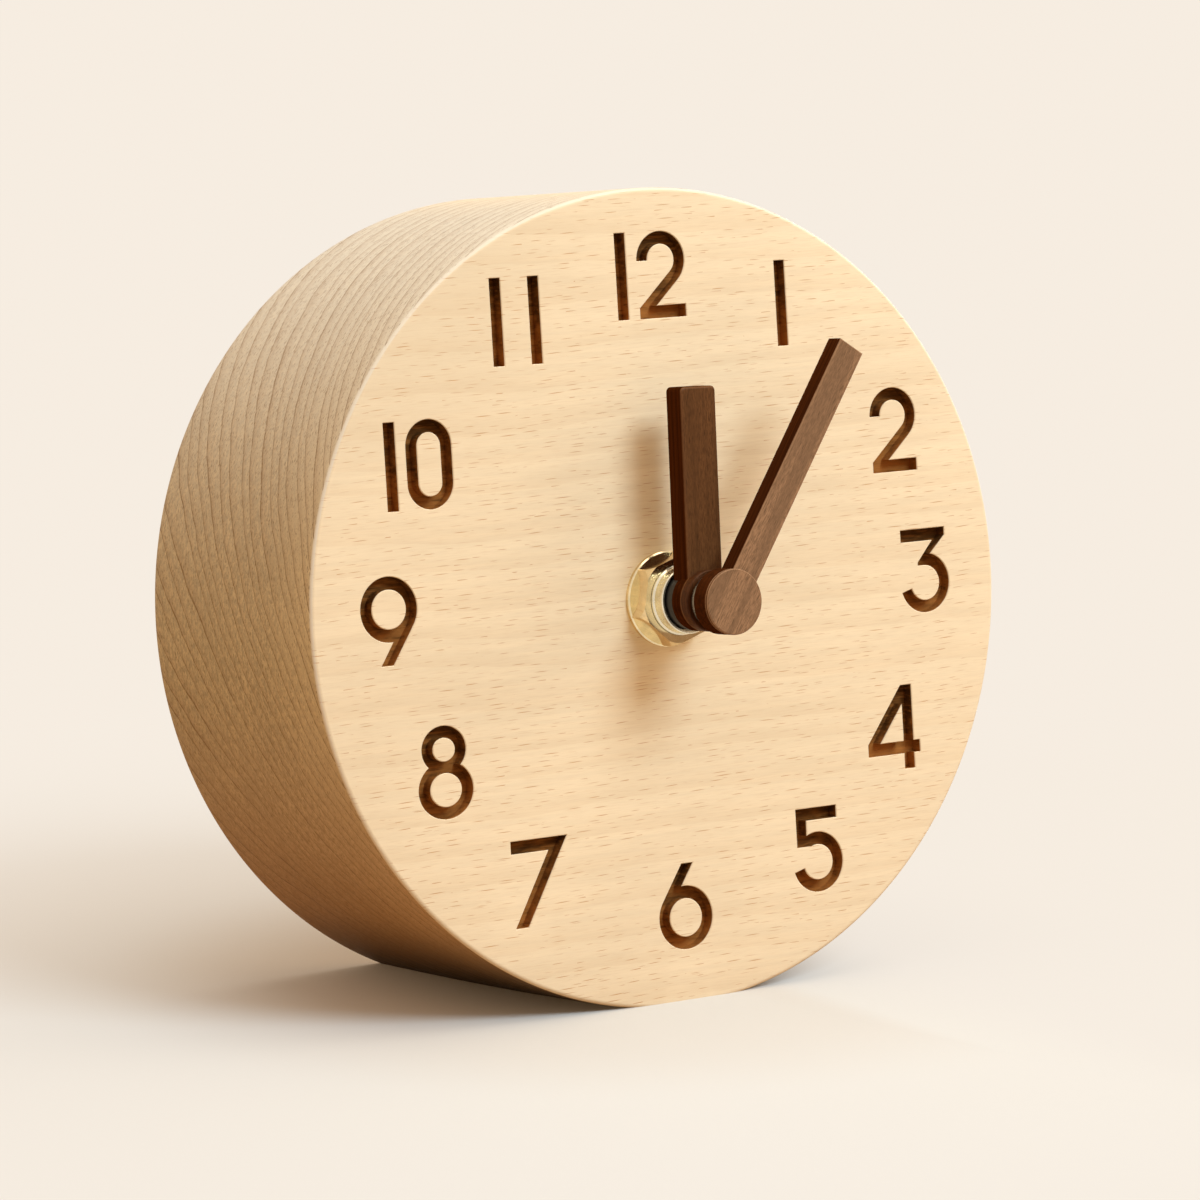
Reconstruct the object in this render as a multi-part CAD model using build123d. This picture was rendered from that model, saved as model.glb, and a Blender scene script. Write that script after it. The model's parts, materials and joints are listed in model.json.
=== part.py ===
from build123d import *
import math
import os

# Round beech table clock: a solid wooden block on a slanted base, a quartz movement
# in a pocket behind the dial, and walnut hands on a brass bushing. Lengths are in
# millimetres. Every part is made with the dial upright and facing -Y, and is then laid
# back onto the base. +Z is up, and the origin is the middle of the base.

# Beech case
case_diameter = 120.0
case_depth = 46.0
base_flat_width = 20.0
lean_degrees = 6.0
case_edge_radius = 0.7
dial_wall = 10.0
pocket_clearance = 2.0
pocket_corner_radius = 6.0

# Brass parts and seal that clamp the movement to the dial
bushing_radius = 5.2
bushing_reach = 6.4
bushing_nose_step = 0.25
bushing_hole_clearance = 0.3
bushing_edge_chamfer = 0.15
bushing_lip = 0.4
thread_run_out = 0.6
thread_clearance = 0.05
flange_width = 2.3
flange_thickness = 1.2
spigot_wall = 1.35
seal_width = 3.8
seal_thickness = 1.0
washer_width = 1.8
washer_thickness = 0.8
washer_edge_chamfer = 0.2
nut_sides = 6
nut_wall = 0.8
nut_height = 3.1
nut_chamfer_depth = 0.55
nut_chamfer_width = 1.1
nut_turn_degrees = 18.0

# Walnut hands and their collars
hour_angle_degrees = 1.2
hour_length = 31.0
hour_cheek = 0.45
hour_thickness = 4.0
hour_tip_corner_radius = 0.7
hour_edge_radius = 0.4
hour_boss_inset = 0.3
hour_boss_setback = 1.5
hour_boss_step = 1.5
hour_boss_edge_chamfer = 0.15
hour_gap = 0.2
hour_collar_sink = 1.6
hour_collar_gap = 0.25
minute_angle_degrees = 33.7
minute_length = 42.4
minute_width = 4.5
minute_thickness = 3.3
minute_edge_chamfer = 0.2
minute_gap = 0.3
minute_collar_inset = 0.55
minute_collar_length = 1.7
cap_radius = 4.77
cap_thickness = 0.4
cap_edge_chamfer = 0.15

# Arbors and running fits
hour_tube_radius = 2.6
minute_arbor_radius = 1.75
clutch_radius = 1.2
tube_setback = 0.5
setting_arbor_radius = 0.7
setting_arbor_gap = 0.34
arbor_radius = 0.5
pivot_radius = 0.35
pivot_length = 0.85
pivot_hole_spare = 0.25
running_clearance = 0.05
arbor_hole_clearance = 0.4
end_shake = 0.1

# Movement housing
housing_wall = 1.5
housing_corner_radius = 3.0
cover_thickness = 1.5
divider_gap = 0.89
divider_wall = 1.2
boss_radius = 1.3
boss_length = 2.7
third_boss_radius = 0.9
bridge_margin = 0.9
bridge_top_margin = 1.9
bridge_bottom_gap = 0.4
bridge_thickness = 1.0
bridge_corner_radius = 1.6
bridge_post_inset = 1.6
bridge_post_radius = 1.3

# Going train and motion work: tooth counts and the distance that sets the wheel sizes
rotor_teeth = 8
intermediate_wheel_teeth = 40
intermediate_pinion_teeth = 8
second_wheel_teeth = 48
second_pinion_teeth = 8
third_wheel_teeth = 60
third_pinion_teeth = 8
centre_wheel_teeth = 64
cannon_teeth = 10
minute_wheel_teeth = 30
minute_pinion_teeth = 8
hour_wheel_teeth = 32
third_distance = 9.6

# Tooth outlines: height above the pitch circle in modules, width in tooth pitches
wheel_tooth_shares = [(-1.15, 0.68), (0.85, 0.18)]
pinion_tooth_shares = [(-1.15, 0.48), (0.0, 0.42), (0.6, 0.16)]

# Wheel thicknesses and the spaces between their layers
wheel_shake = 0.4
layer_gap = 0.6
pinion_overhang = 0.15
hour_wheel_thickness = 1.0
minute_wheel_thickness = 0.9
centre_wheel_thickness = 0.8
third_wheel_thickness = 0.7
second_wheel_thickness = 0.7
intermediate_wheel_thickness = 0.6

# Stepping motor
magnet_radius = 3.0
magnet_thickness = 1.6
stator_gap = 0.4
stator_ring_width = 1.0
stator_arbor_gap = 0.38
stator_wheel_gap = 0.97
stator_bar_width = 5.2
stator_arm_width = 4.5
stator_thickness = 1.0
core_width = 3.0
core_thickness = 1.0
core_clearance = 0.1
bobbin_length = 18.0
bobbin_end_gap = 1.5
bobbin_bridge_gap = 1.4
bobbin_flange = 7.0
bobbin_flange_thickness = 1.0
bobbin_tube_radius = 2.2
bobbin_corner_radius = 0.8
winding_radius = 3.2
coil_gap = 1.3

# Setting knob
knob_radius = 6.5
knob_thickness = 3.2
knob_gap = 0.5
knob_flute_count = 12
knob_flute_radius = 0.8
knob_edge_chamfer = 0.5
knob_recess_radius = 3.9
knob_recess_depth = 0.8
knob_hub_radius = 1.4

# Battery, contacts and circuit
battery_radius = 7.25
battery_length = 50.5
battery_nub_radius = 2.75
battery_nub_length = 1.2
battery_edge_chamfer = 0.5
battery_clearance = 0.3
battery_bottom_gap = 0.9
battery_floor = 0.8
battery_floor_gap = 0.3
battery_sink = 0.4
contact_thickness = 0.4
contact_spring_length = 2.1
contact_width = 8.0
contact_length = 9.0
contact_bow_width = 3.0
board_width = 6.0
board_thickness = 1.0
board_end_gap = 0.1
board_divider_gap = 0.3
board_cover_gap = 1.5
ledge_width = 2.0
ledge_thickness = 1.5
chip_size = 4.0
chip_thickness = 0.9
crystal_radius = 0.75
crystal_length = 5.0
crystal_end_gap = 7.0

# Length by which a cut runs past the face that it opens
overrun = 1.0


def mesh_module(distance, teeth, mate_teeth):
    """Module of two gears that meet at a centre distance."""
    return 2 * distance / (teeth + mate_teeth)


def tip_radius(distance, teeth, mate_teeth):
    """Outside radius of a wheel that meets a pinion at a centre distance."""
    tip_share = wheel_tooth_shares[-1][0]
    return mesh_module(distance, teeth, mate_teeth) * (teeth / 2 + tip_share)


# Places across the dial, measured from the clock's axis
third_wheel_tip = tip_radius(third_distance, third_wheel_teeth, second_pinion_teeth)
centre_wheel_tip = tip_radius(third_distance, centre_wheel_teeth, third_pinion_teeth)
motion_distance = centre_wheel_tip + setting_arbor_radius + setting_arbor_gap
minute_wheel_tip = tip_radius(motion_distance, minute_wheel_teeth, cannon_teeth)
stator_ring_radius = magnet_radius + stator_gap + stator_ring_width
rotor_distance = stator_ring_radius + arbor_radius + stator_arbor_gap
rotor_rise = third_wheel_tip + stator_wheel_gap + stator_bar_width / 2
bridge_top = rotor_rise + stator_bar_width / 2 + bridge_top_margin
core_rise = bridge_top + bobbin_bridge_gap + bobbin_flange / 2

centre_at = (0, 0)
setting_at = (motion_distance, 0)
third_at = (-third_distance, 0)
intermediate_at = (0, rotor_rise - rotor_distance)
rotor_at = (0, rotor_rise)
core_at = (0, core_rise)

divider_drop = third_wheel_tip + divider_gap
cover_drop = divider_drop + divider_wall / 2
battery_drop = divider_drop + divider_wall + battery_clearance + battery_radius
bridge_half_width = motion_distance + minute_wheel_tip + bridge_margin
stator_length = bobbin_length + 2 * (bobbin_end_gap + stator_arm_width)
cavity_half = (battery_length + contact_thickness + contact_spring_length) / 2
cavity_top = core_rise + bobbin_flange / 2 + coil_gap
cavity_bottom = battery_drop + battery_radius + battery_bottom_gap
board_half = cavity_half - contact_thickness - board_end_gap
board_drop = divider_drop - board_divider_gap - board_width / 2
battery_end_x = cavity_half - contact_thickness

# Radii of the hand fixing
washer_radius = bushing_radius + washer_width
flange_radius = bushing_radius + flange_width
seal_radius = bushing_radius + seal_width
nose_radius = bushing_radius - bushing_nose_step
spigot_radius = hour_tube_radius + running_clearance + spigot_wall
nut_across_flats = 2 * (bushing_radius + nut_wall)
hour_collar_radius = nose_radius - bushing_lip - hour_collar_gap
hour_width = 2 * (hour_tube_radius + hour_cheek)
hour_boss_radius = cap_radius - hour_boss_inset
minute_collar_radius = hour_boss_radius - minute_collar_inset

# Depths, from the dial to the back
case_radius = case_diameter / 2
base_rise = case_depth / 2 * math.tan(math.radians(lean_degrees))
axis_height = math.sqrt(case_radius ** 2 - (base_flat_width / 2) ** 2) - base_rise
dial_y = -case_depth / 2
back_y = case_depth / 2
pocket_floor_y = dial_y + dial_wall
seal_back_y = pocket_floor_y + seal_thickness
housing_front_y = seal_back_y + flange_thickness
housing_inner_y = housing_front_y + housing_wall

washer_front_y = dial_y - washer_thickness
nut_front_y = washer_front_y - nut_height
thread_front_y = nut_front_y - thread_run_out
bushing_front_y = dial_y - bushing_reach
hour_back_y = bushing_front_y - hour_gap
hour_front_y = hour_back_y - hour_thickness
hour_boss_back_y = hour_back_y - hour_boss_setback
hour_boss_front_y = hour_front_y - hour_boss_step
minute_collar_back_y = hour_boss_front_y - minute_gap
minute_back_y = minute_collar_back_y - minute_collar_length
minute_front_y = minute_back_y - minute_thickness
cap_front_y = minute_front_y - cap_thickness

hour_wheel_y = housing_inner_y + wheel_shake
minute_wheel_y = hour_wheel_y + hour_wheel_thickness + layer_gap
centre_wheel_y = minute_wheel_y + minute_wheel_thickness + layer_gap
bridge_y = centre_wheel_y + centre_wheel_thickness + layer_gap
stator_y = bridge_y + bridge_thickness
third_wheel_y = stator_y + layer_gap
second_wheel_y = third_wheel_y + third_wheel_thickness + layer_gap
intermediate_wheel_y = second_wheel_y + second_wheel_thickness + layer_gap
boss_front_y = intermediate_wheel_y + intermediate_wheel_thickness + layer_gap
cover_front_y = boss_front_y + boss_length
housing_back_y = cover_front_y + cover_thickness
third_boss_y = centre_wheel_y - pinion_overhang - end_shake
clutch_back_y = bridge_y - layer_gap / 2
magnet_y = stator_y + wheel_shake
core_y = stator_y + stator_thickness
bay_floor_y = housing_front_y + battery_floor
battery_y = bay_floor_y + battery_floor_gap + battery_radius
bay_back_y = battery_y + battery_radius + battery_sink
board_back_y = cover_front_y - board_cover_gap
board_front_y = board_back_y - board_thickness


def layer(y):
    """Plane across the clock's axis at depth y, facing the viewer, with Z up."""
    return Plane(origin=(0, y, axis_height), x_dir=(1, 0, 0), z_dir=(0, -1, 0))


def prism(sketch, front, back):
    """Solid of a sketch seen from the front, between two depths."""
    return extrude(layer(back) * sketch, amount=back - front)


def disc(radius, front, back, at=centre_at):
    """Round bar along the depth, centred at a place on the dial."""
    return prism(Pos(*at) * Circle(radius), front, back)


def block(low, high, front, back):
    """Box between two corners seen from the front and two depths."""
    width = high[0] - low[0]
    height = high[1] - low[1]
    middle = ((low[0] + high[0]) / 2, (low[1] + high[1]) / 2)
    return prism(Pos(*middle) * Rectangle(width, height), front, back)


def front_edges(solid):
    """Edges of the face of a solid that is nearest the viewer."""
    return solid.faces().sort_by(Axis.Y)[0].edges()


def back_edges(solid):
    """Edges of the face of a solid that is furthest from the viewer."""
    return solid.faces().sort_by(Axis.Y)[-1].edges()


def direction(start, end):
    """Angle of the line between two places on the dial, in radians."""
    return math.atan2(end[1] - start[1], end[0] - start[0])


def toothed_outline(teeth, module, shares, phase):
    """Gear outline: straight flanks through shared heights and widths of a tooth."""
    pitch = 2 * math.pi / teeth
    pitch_radius = module * teeth / 2
    points = []
    for tooth in range(teeth):
        middle = phase + tooth * pitch
        rising = [(height, -width / 2) for height, width in shares]
        falling = [(height, width / 2) for height, width in reversed(shares)]
        for height, side in rising + falling:
            radius = pitch_radius + height * module
            angle = middle + side * pitch
            points.append((radius * math.cos(angle), radius * math.sin(angle)))
    return Polygon(*points, align=None)


def wheel(teeth, mate_teeth, at, mate_at, front, thickness):
    """Toothed wheel with a tooth on the line to its pinion."""
    module = mesh_module(math.dist(at, mate_at), teeth, mate_teeth)
    outline = toothed_outline(teeth, module, wheel_tooth_shares, direction(at, mate_at))
    return prism(Pos(*at) * outline, front, front + thickness)


def pinion(teeth, mate_teeth, at, mate_at, wheel_front, wheel_thickness):
    """Pinion a little wider than its wheel, with a gap on the line to the wheel."""
    module = mesh_module(math.dist(at, mate_at), teeth, mate_teeth)
    phase = direction(at, mate_at) + math.pi / teeth
    outline = toothed_outline(teeth, module, pinion_tooth_shares, phase)
    front = wheel_front - pinion_overhang
    back = wheel_front + wheel_thickness + pinion_overhang
    return prism(Pos(*at) * outline, front, back)


def staff(at, front, back):
    """Arbor with a thin pivot at each end."""
    body = disc(arbor_radius, front, back, at)
    return body + disc(pivot_radius, front - pivot_length, back + pivot_length, at)


def pivot_hole(at, mouth, inwards):
    """Cut for a pivot, from its mouth to a little past the pivot's end."""
    end = mouth + inwards * (pivot_length + pivot_hole_spare)
    start = mouth - inwards * overrun
    return disc(pivot_radius + running_clearance, min(start, end), max(start, end), at)


def movement_outline(margin, corner_radius):
    """Rounded rectangle that stands off the movement's chambers by a margin."""
    width = 2 * (cavity_half + margin)
    height = cavity_top + cavity_bottom + 2 * margin
    middle = (cavity_top - cavity_bottom) / 2
    return Pos(0, middle) * RectangleRounded(width, height, corner_radius)


def case_block():
    """Beech block: rounded rims, slanted flat base, movement pocket and bushing hole."""
    body = disc(case_radius, dial_y, back_y)
    body = fillet(body.edges().filter_by(GeomType.CIRCLE), case_edge_radius)
    below = Rot(lean_degrees, 0, 0) * Box(case_diameter, 2 * case_depth, case_radius,
                                          align=(Align.CENTER, Align.CENTER, Align.MAX))
    pocket_outline = movement_outline(housing_wall + pocket_clearance, pocket_corner_radius)
    pocket = prism(pocket_outline, pocket_floor_y, back_y + overrun)
    hole_radius = bushing_radius + bushing_hole_clearance
    hole = disc(hole_radius, dial_y - overrun, pocket_floor_y + overrun)
    return body - below - pocket - hole


def threaded_bushing():
    """Brass bushing: plain nose, thread through the dial, flange and spigot behind it."""
    nose = disc(nose_radius, bushing_front_y, seal_back_y)
    nose = chamfer(front_edges(nose), bushing_edge_chamfer)
    thread = disc(bushing_radius, thread_front_y, seal_back_y)
    thread = chamfer(front_edges(thread), bushing_nose_step)
    flange = disc(flange_radius, seal_back_y, housing_front_y)
    spigot = disc(spigot_radius, housing_front_y, housing_inner_y)
    bore_radius = hour_tube_radius + running_clearance
    bore = disc(bore_radius, bushing_front_y - overrun, housing_inner_y + overrun)
    recess_back = bushing_front_y + hour_collar_sink + hour_collar_gap
    recess = disc(hour_collar_radius + hour_collar_gap, bushing_front_y - overrun, recess_back)
    return nose + thread + flange + spigot - bore - recess


def sealing_washer():
    """Rubber washer between the bushing's flange and the pocket floor."""
    hole = disc(bushing_radius + thread_clearance, pocket_floor_y - overrun, seal_back_y + overrun)
    return disc(seal_radius, pocket_floor_y, seal_back_y) - hole


def dial_washer():
    """Brass washer on the dial."""
    body = disc(washer_radius, washer_front_y, dial_y)
    body = chamfer(front_edges(body), washer_edge_chamfer)
    hole = disc(bushing_radius + thread_clearance, washer_front_y - overrun, dial_y + overrun)
    return body - hole


def hex_nut():
    """Brass hexagon nut with its front corners turned off."""
    corner_radius = nut_across_flats / 2 / math.cos(math.pi / nut_sides)
    hexagon = Rot(0, 0, nut_turn_degrees) * RegularPolygon(corner_radius, nut_sides)
    blank = prism(hexagon, nut_front_y, washer_front_y)
    turned = disc(corner_radius, nut_front_y, washer_front_y)
    turned = chamfer(front_edges(turned), nut_chamfer_width, nut_chamfer_depth)
    hole = disc(bushing_radius + thread_clearance, nut_front_y - overrun, washer_front_y + overrun)
    return (blank & turned) - hole


def hour_wheel():
    """Hour wheel with the tube that carries the hour hand."""
    body = wheel(hour_wheel_teeth, minute_pinion_teeth, centre_at, setting_at, hour_wheel_y,
                 hour_wheel_thickness)
    tube_front = hour_boss_front_y + tube_setback
    tube_back = hour_wheel_y + hour_wheel_thickness
    tube = disc(hour_tube_radius, tube_front, tube_back)
    bore = disc(minute_arbor_radius + running_clearance, tube_front - overrun, tube_back + overrun)
    return body + tube - bore


def hour_collar():
    """Black collar on the hour tube, sunk in the mouth of the bushing, up to the hour hand's boss."""
    front = hour_boss_back_y
    back = bushing_front_y + hour_collar_sink
    hole = disc(hour_tube_radius, front - overrun, back + overrun)
    return disc(hour_collar_radius, front, back) - hole


def hour_hand():
    """Broad walnut bar with soft edges on a round boss, cut away behind for the collar."""
    outline = Pos(0, hour_length / 2) * Rectangle(hour_width, hour_length)
    corners = outline.vertices().sort_by(Axis.Y)
    outline = fillet(corners[-2:], hour_tip_corner_radius)
    bar = prism(Rot(0, 0, -hour_angle_degrees) * outline, hour_front_y, hour_back_y)
    bar = fillet(front_edges(bar) + back_edges(bar), hour_edge_radius)
    boss = disc(hour_boss_radius, hour_boss_front_y, hour_boss_back_y)
    boss = chamfer(front_edges(boss) + back_edges(boss), hour_boss_edge_chamfer)
    seat = disc(hour_collar_radius, hour_boss_back_y, hour_back_y + overrun)
    hole = disc(hour_tube_radius, hour_boss_front_y - overrun, hour_back_y + overrun)
    return bar + boss - seat - hole


def minute_arbor():
    """Steel arbor of the minute hand, with the cannon pinion and the clutch seat."""
    cannon = pinion(cannon_teeth, minute_wheel_teeth, centre_at, setting_at, minute_wheel_y,
                    minute_wheel_thickness)
    shaft = disc(minute_arbor_radius, minute_front_y, minute_wheel_y)
    seat = disc(clutch_radius, minute_wheel_y, clutch_back_y)
    return shaft + cannon + seat


def minute_collar():
    """Dark steel collar that spaces the minute hand from the hour hand."""
    hole = disc(minute_arbor_radius, minute_back_y - overrun, minute_collar_back_y + overrun)
    return disc(minute_collar_radius, minute_back_y, minute_collar_back_y) - hole


def minute_hand():
    """Slim walnut bar with a round hub."""
    bar = Pos(0, minute_length / 2) * Rectangle(minute_width, minute_length)
    outline = Rot(0, 0, -minute_angle_degrees) * (bar + Circle(cap_radius))
    body = prism(outline, minute_front_y, minute_back_y)
    body = chamfer(front_edges(body) + back_edges(body), minute_edge_chamfer)
    hole = disc(minute_arbor_radius, minute_front_y - overrun, minute_back_y + overrun)
    return body - hole


def hand_cap():
    """Walnut disc that closes the hub of the minute hand."""
    body = disc(cap_radius, cap_front_y, minute_front_y)
    return chamfer(front_edges(body), cap_edge_chamfer)


def minute_wheel():
    """Minute wheel, its pinion and the arbor that carries the setting knob."""
    body = wheel(minute_wheel_teeth, cannon_teeth, setting_at, centre_at, minute_wheel_y,
                 minute_wheel_thickness)
    # The wheel faces the cannon pinion's gap with a tooth, and the pinion faces the
    # hour wheel's tooth with a gap.
    leaves = pinion(minute_pinion_teeth, hour_wheel_teeth, setting_at, centre_at, hour_wheel_y,
                    hour_wheel_thickness)
    hub = disc(setting_arbor_radius, hour_wheel_y, housing_back_y + knob_gap + knob_thickness,
               setting_at)
    pivot = disc(pivot_radius, housing_inner_y - pivot_length, hour_wheel_y, setting_at)
    return body + leaves + hub + pivot


def setting_knob():
    """Fluted thumb knob behind the cover, hollowed on its outer face."""
    front = housing_back_y + knob_gap
    back = front + knob_thickness
    turned = disc(knob_radius, front, back, setting_at)
    turned = chamfer(back_edges(turned), knob_edge_chamfer)
    flute_ring = PolarLocations(knob_radius, knob_flute_count)
    outline = Circle(knob_radius) - flute_ring * Circle(knob_flute_radius)
    recess = Circle(knob_recess_radius) - Circle(knob_hub_radius)
    body = turned & prism(Pos(*setting_at) * outline, front, back)
    body -= prism(Pos(*setting_at) * recess, back - knob_recess_depth, back + overrun)
    return body - disc(setting_arbor_radius, front - overrun, back + overrun, setting_at)


def centre_wheel():
    """Centre wheel, driven by the train and held on the minute arbor by friction."""
    body = wheel(centre_wheel_teeth, third_pinion_teeth, centre_at, third_at, centre_wheel_y,
                 centre_wheel_thickness)
    back = centre_wheel_y + centre_wheel_thickness
    bore = disc(clutch_radius + running_clearance, centre_wheel_y - overrun, back + overrun)
    return body - bore


def third_wheel():
    """Third wheel behind the bridge, its pinion in front of it, on one arbor."""
    body = wheel(third_wheel_teeth, second_pinion_teeth, third_at, centre_at, third_wheel_y,
                 third_wheel_thickness)
    leaves = pinion(third_pinion_teeth, centre_wheel_teeth, third_at, centre_at, centre_wheel_y,
                    centre_wheel_thickness)
    return body + leaves + staff(third_at, third_boss_y + end_shake, boss_front_y - end_shake)


def second_wheel():
    """Second wheel and pinion on the clock's axis, behind the bridge."""
    body = wheel(second_wheel_teeth, intermediate_pinion_teeth, centre_at, intermediate_at,
                 second_wheel_y, second_wheel_thickness)
    leaves = pinion(second_pinion_teeth, third_wheel_teeth, centre_at, third_at, third_wheel_y,
                    third_wheel_thickness)
    return body + leaves + staff(centre_at, stator_y + end_shake, boss_front_y - end_shake)


def intermediate_wheel():
    """Intermediate wheel and pinion between the rotor and the second wheel."""
    body = wheel(intermediate_wheel_teeth, rotor_teeth, intermediate_at, rotor_at,
                 intermediate_wheel_y, intermediate_wheel_thickness)
    leaves = pinion(intermediate_pinion_teeth, second_wheel_teeth, intermediate_at, centre_at,
                    second_wheel_y, second_wheel_thickness)
    return body + leaves + staff(intermediate_at, stator_y + end_shake, boss_front_y - end_shake)


def rotor():
    """Motor rotor: disc magnet and pinion on one arbor."""
    magnet = disc(magnet_radius, magnet_y, magnet_y + magnet_thickness, rotor_at)
    leaves = pinion(rotor_teeth, intermediate_wheel_teeth, rotor_at, intermediate_at,
                    intermediate_wheel_y, intermediate_wheel_thickness)
    return magnet + leaves + staff(rotor_at, stator_y + end_shake, boss_front_y - end_shake)


def bridge_posts():
    """Places of the four posts that carry the train bridge."""
    reach = bridge_half_width - bridge_post_inset
    low = -divider_drop + bridge_bottom_gap + bridge_post_inset
    high = bridge_top - bridge_post_inset
    return [(-reach, low), (reach, low), (-reach, high), (reach, high)]


def board_ledge(side):
    """Ledge on the divider under one end of the circuit board."""
    ends = sorted((side * board_half, side * (board_half - ledge_width)))
    top = board_divider_gap + board_width - divider_drop
    return block((ends[0], -divider_drop), (ends[1], top), board_front_y - ledge_thickness,
                 board_front_y)


def tab_slot(side):
    """Slot through the divider at one end, for the tab of a contact."""
    ends = sorted((side * cavity_half, side * battery_end_x))
    low = -divider_drop - divider_wall - overrun
    return block((ends[0], low), (ends[1], overrun - divider_drop), battery_y, bay_back_y + overrun)


def below_cover():
    """Half plane under the lower edge of the cover."""
    height = cavity_top + cavity_bottom
    return Pos(0, -cover_drop - height / 2) * Rectangle(2 * case_diameter, height)


def movement_housing():
    """Front shell of the movement: train chamber, battery bay, posts and pivot seats."""
    outline = movement_outline(housing_wall, housing_corner_radius)
    body = prism(outline - below_cover(), housing_front_y, cover_front_y)
    body += prism(outline & below_cover(), housing_front_y, bay_back_y)
    body -= block((-cavity_half, -divider_drop), (cavity_half, cavity_top), housing_inner_y,
                  cover_front_y + overrun)
    body -= block((-cavity_half, -cavity_bottom), (cavity_half, -divider_drop - divider_wall),
                  bay_floor_y, bay_back_y + overrun)
    for side in (-1, 1):
        body = body - tab_slot(side) + board_ledge(side)
    for at in bridge_posts():
        body += disc(bridge_post_radius, housing_inner_y, bridge_y, at)
    body += disc(third_boss_radius, housing_inner_y, third_boss_y, third_at)
    body -= pivot_hole(third_at, third_boss_y, -1)
    body -= pivot_hole(setting_at, housing_inner_y, -1)
    return body - disc(spigot_radius, housing_front_y - overrun, housing_inner_y + overrun)


def movement_cover():
    """Rear cover of the train chamber, with a pivot boss for each train arbor."""
    outline = movement_outline(housing_wall, housing_corner_radius)
    body = prism(outline - below_cover(), cover_front_y, housing_back_y)
    for at in (centre_at, third_at, intermediate_at, rotor_at):
        body += disc(boss_radius, boss_front_y, cover_front_y, at)
        body -= pivot_hole(at, boss_front_y, 1)
    hole_radius = setting_arbor_radius + running_clearance
    return body - disc(hole_radius, cover_front_y - overrun, housing_back_y + overrun, setting_at)


def train_bridge():
    """Plate on four posts that carries the front pivots of the rear train."""
    bottom = -divider_drop + bridge_bottom_gap
    middle = (bottom + bridge_top) / 2
    outline = RectangleRounded(2 * bridge_half_width, bridge_top - bottom, bridge_corner_radius)
    body = prism(Pos(0, middle) * outline, bridge_y, stator_y)
    for at in (centre_at, intermediate_at, rotor_at):
        body -= disc(pivot_radius + running_clearance, bridge_y - overrun, stator_y + overrun, at)
    body -= disc(arbor_radius + arbor_hole_clearance, bridge_y - overrun, stator_y + overrun, third_at)
    setting_hole = setting_arbor_radius + arbor_hole_clearance
    return body - disc(setting_hole, bridge_y - overrun, stator_y + overrun, setting_at)


def stator_plate():
    """Soft iron plate: ring round the rotor, bar across it and two arms to the core."""
    arm_middle = (stator_length - stator_arm_width) / 2
    arm_top = core_rise + core_width / 2
    arm_height = arm_top - rotor_rise + stator_bar_width / 2
    outline = Pos(*rotor_at) * Rectangle(stator_length, stator_bar_width)
    outline += Pos(*rotor_at) * Circle(stator_ring_radius)
    for side in (-1, 1):
        arm = Rectangle(stator_arm_width, arm_height)
        outline += Pos(side * arm_middle, arm_top - arm_height / 2) * arm
    outline -= Pos(*rotor_at) * Circle(magnet_radius + stator_gap)
    return prism(outline, stator_y, core_y)


def coil_core():
    """Soft iron bar through the coil, laid on the stator's arms."""
    bar = Pos(*core_at) * Rectangle(stator_length, core_width)
    return prism(bar, core_y, core_y + core_thickness)


def coil_axis():
    """Plane across the coil at its middle, facing +X."""
    origin = (0, core_y + core_thickness / 2, axis_height + core_rise)
    return Plane(origin=origin, x_dir=(0, 1, 0), z_dir=(1, 0, 0))


def along_coil(sketch, start, end):
    """Solid of a sketch carried along the coil's axis."""
    return extrude(coil_axis().offset(start) * sketch, amount=end - start)


def coil_bobbin():
    """Plastic bobbin: round tube with a square flange at each end."""
    half = bobbin_length / 2
    body = along_coil(Circle(bobbin_tube_radius), -half, half)
    flange = RectangleRounded(bobbin_flange, bobbin_flange, bobbin_corner_radius)
    body += along_coil(flange, -half, bobbin_flange_thickness - half)
    body += along_coil(flange, half - bobbin_flange_thickness, half)
    slot = Rectangle(core_thickness + 2 * core_clearance, core_width + 2 * core_clearance)
    return body - along_coil(slot, -half - overrun, half + overrun)


def coil_winding():
    """Copper winding between the bobbin's flanges."""
    half = bobbin_length / 2 - bobbin_flange_thickness
    return along_coil(Circle(winding_radius) - Circle(bobbin_tube_radius), -half, half)


def battery_cell():
    """Size AA cell lying across the bottom of the movement."""
    can_length = battery_length - battery_nub_length
    can_end = battery_end_x - battery_nub_length
    origin = (can_end, battery_y, axis_height - battery_drop)
    end_plane = Plane(origin=origin, x_dir=(0, 1, 0), z_dir=(1, 0, 0))
    can = extrude(end_plane * Circle(battery_radius), amount=-can_length)
    can = chamfer(can.edges().filter_by(GeomType.CIRCLE), battery_edge_chamfer)
    return can + extrude(end_plane * Circle(battery_nub_radius), amount=battery_nub_length)


def contact_tab(side):
    """Tab of a contact that rises through the divider to the circuit board."""
    ends = sorted((side * cavity_half, side * battery_end_x))
    return block((ends[0], -battery_drop), (ends[1], -board_drop), battery_y, board_back_y)


def positive_contact():
    """Flat plate at the cell's nub, with its tab."""
    plate = block((battery_end_x, -battery_drop - contact_width / 2),
                  (cavity_half, -battery_drop + contact_width / 2),
                  battery_y - contact_length / 2, battery_y + contact_length / 2)
    return plate + contact_tab(1)


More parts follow.
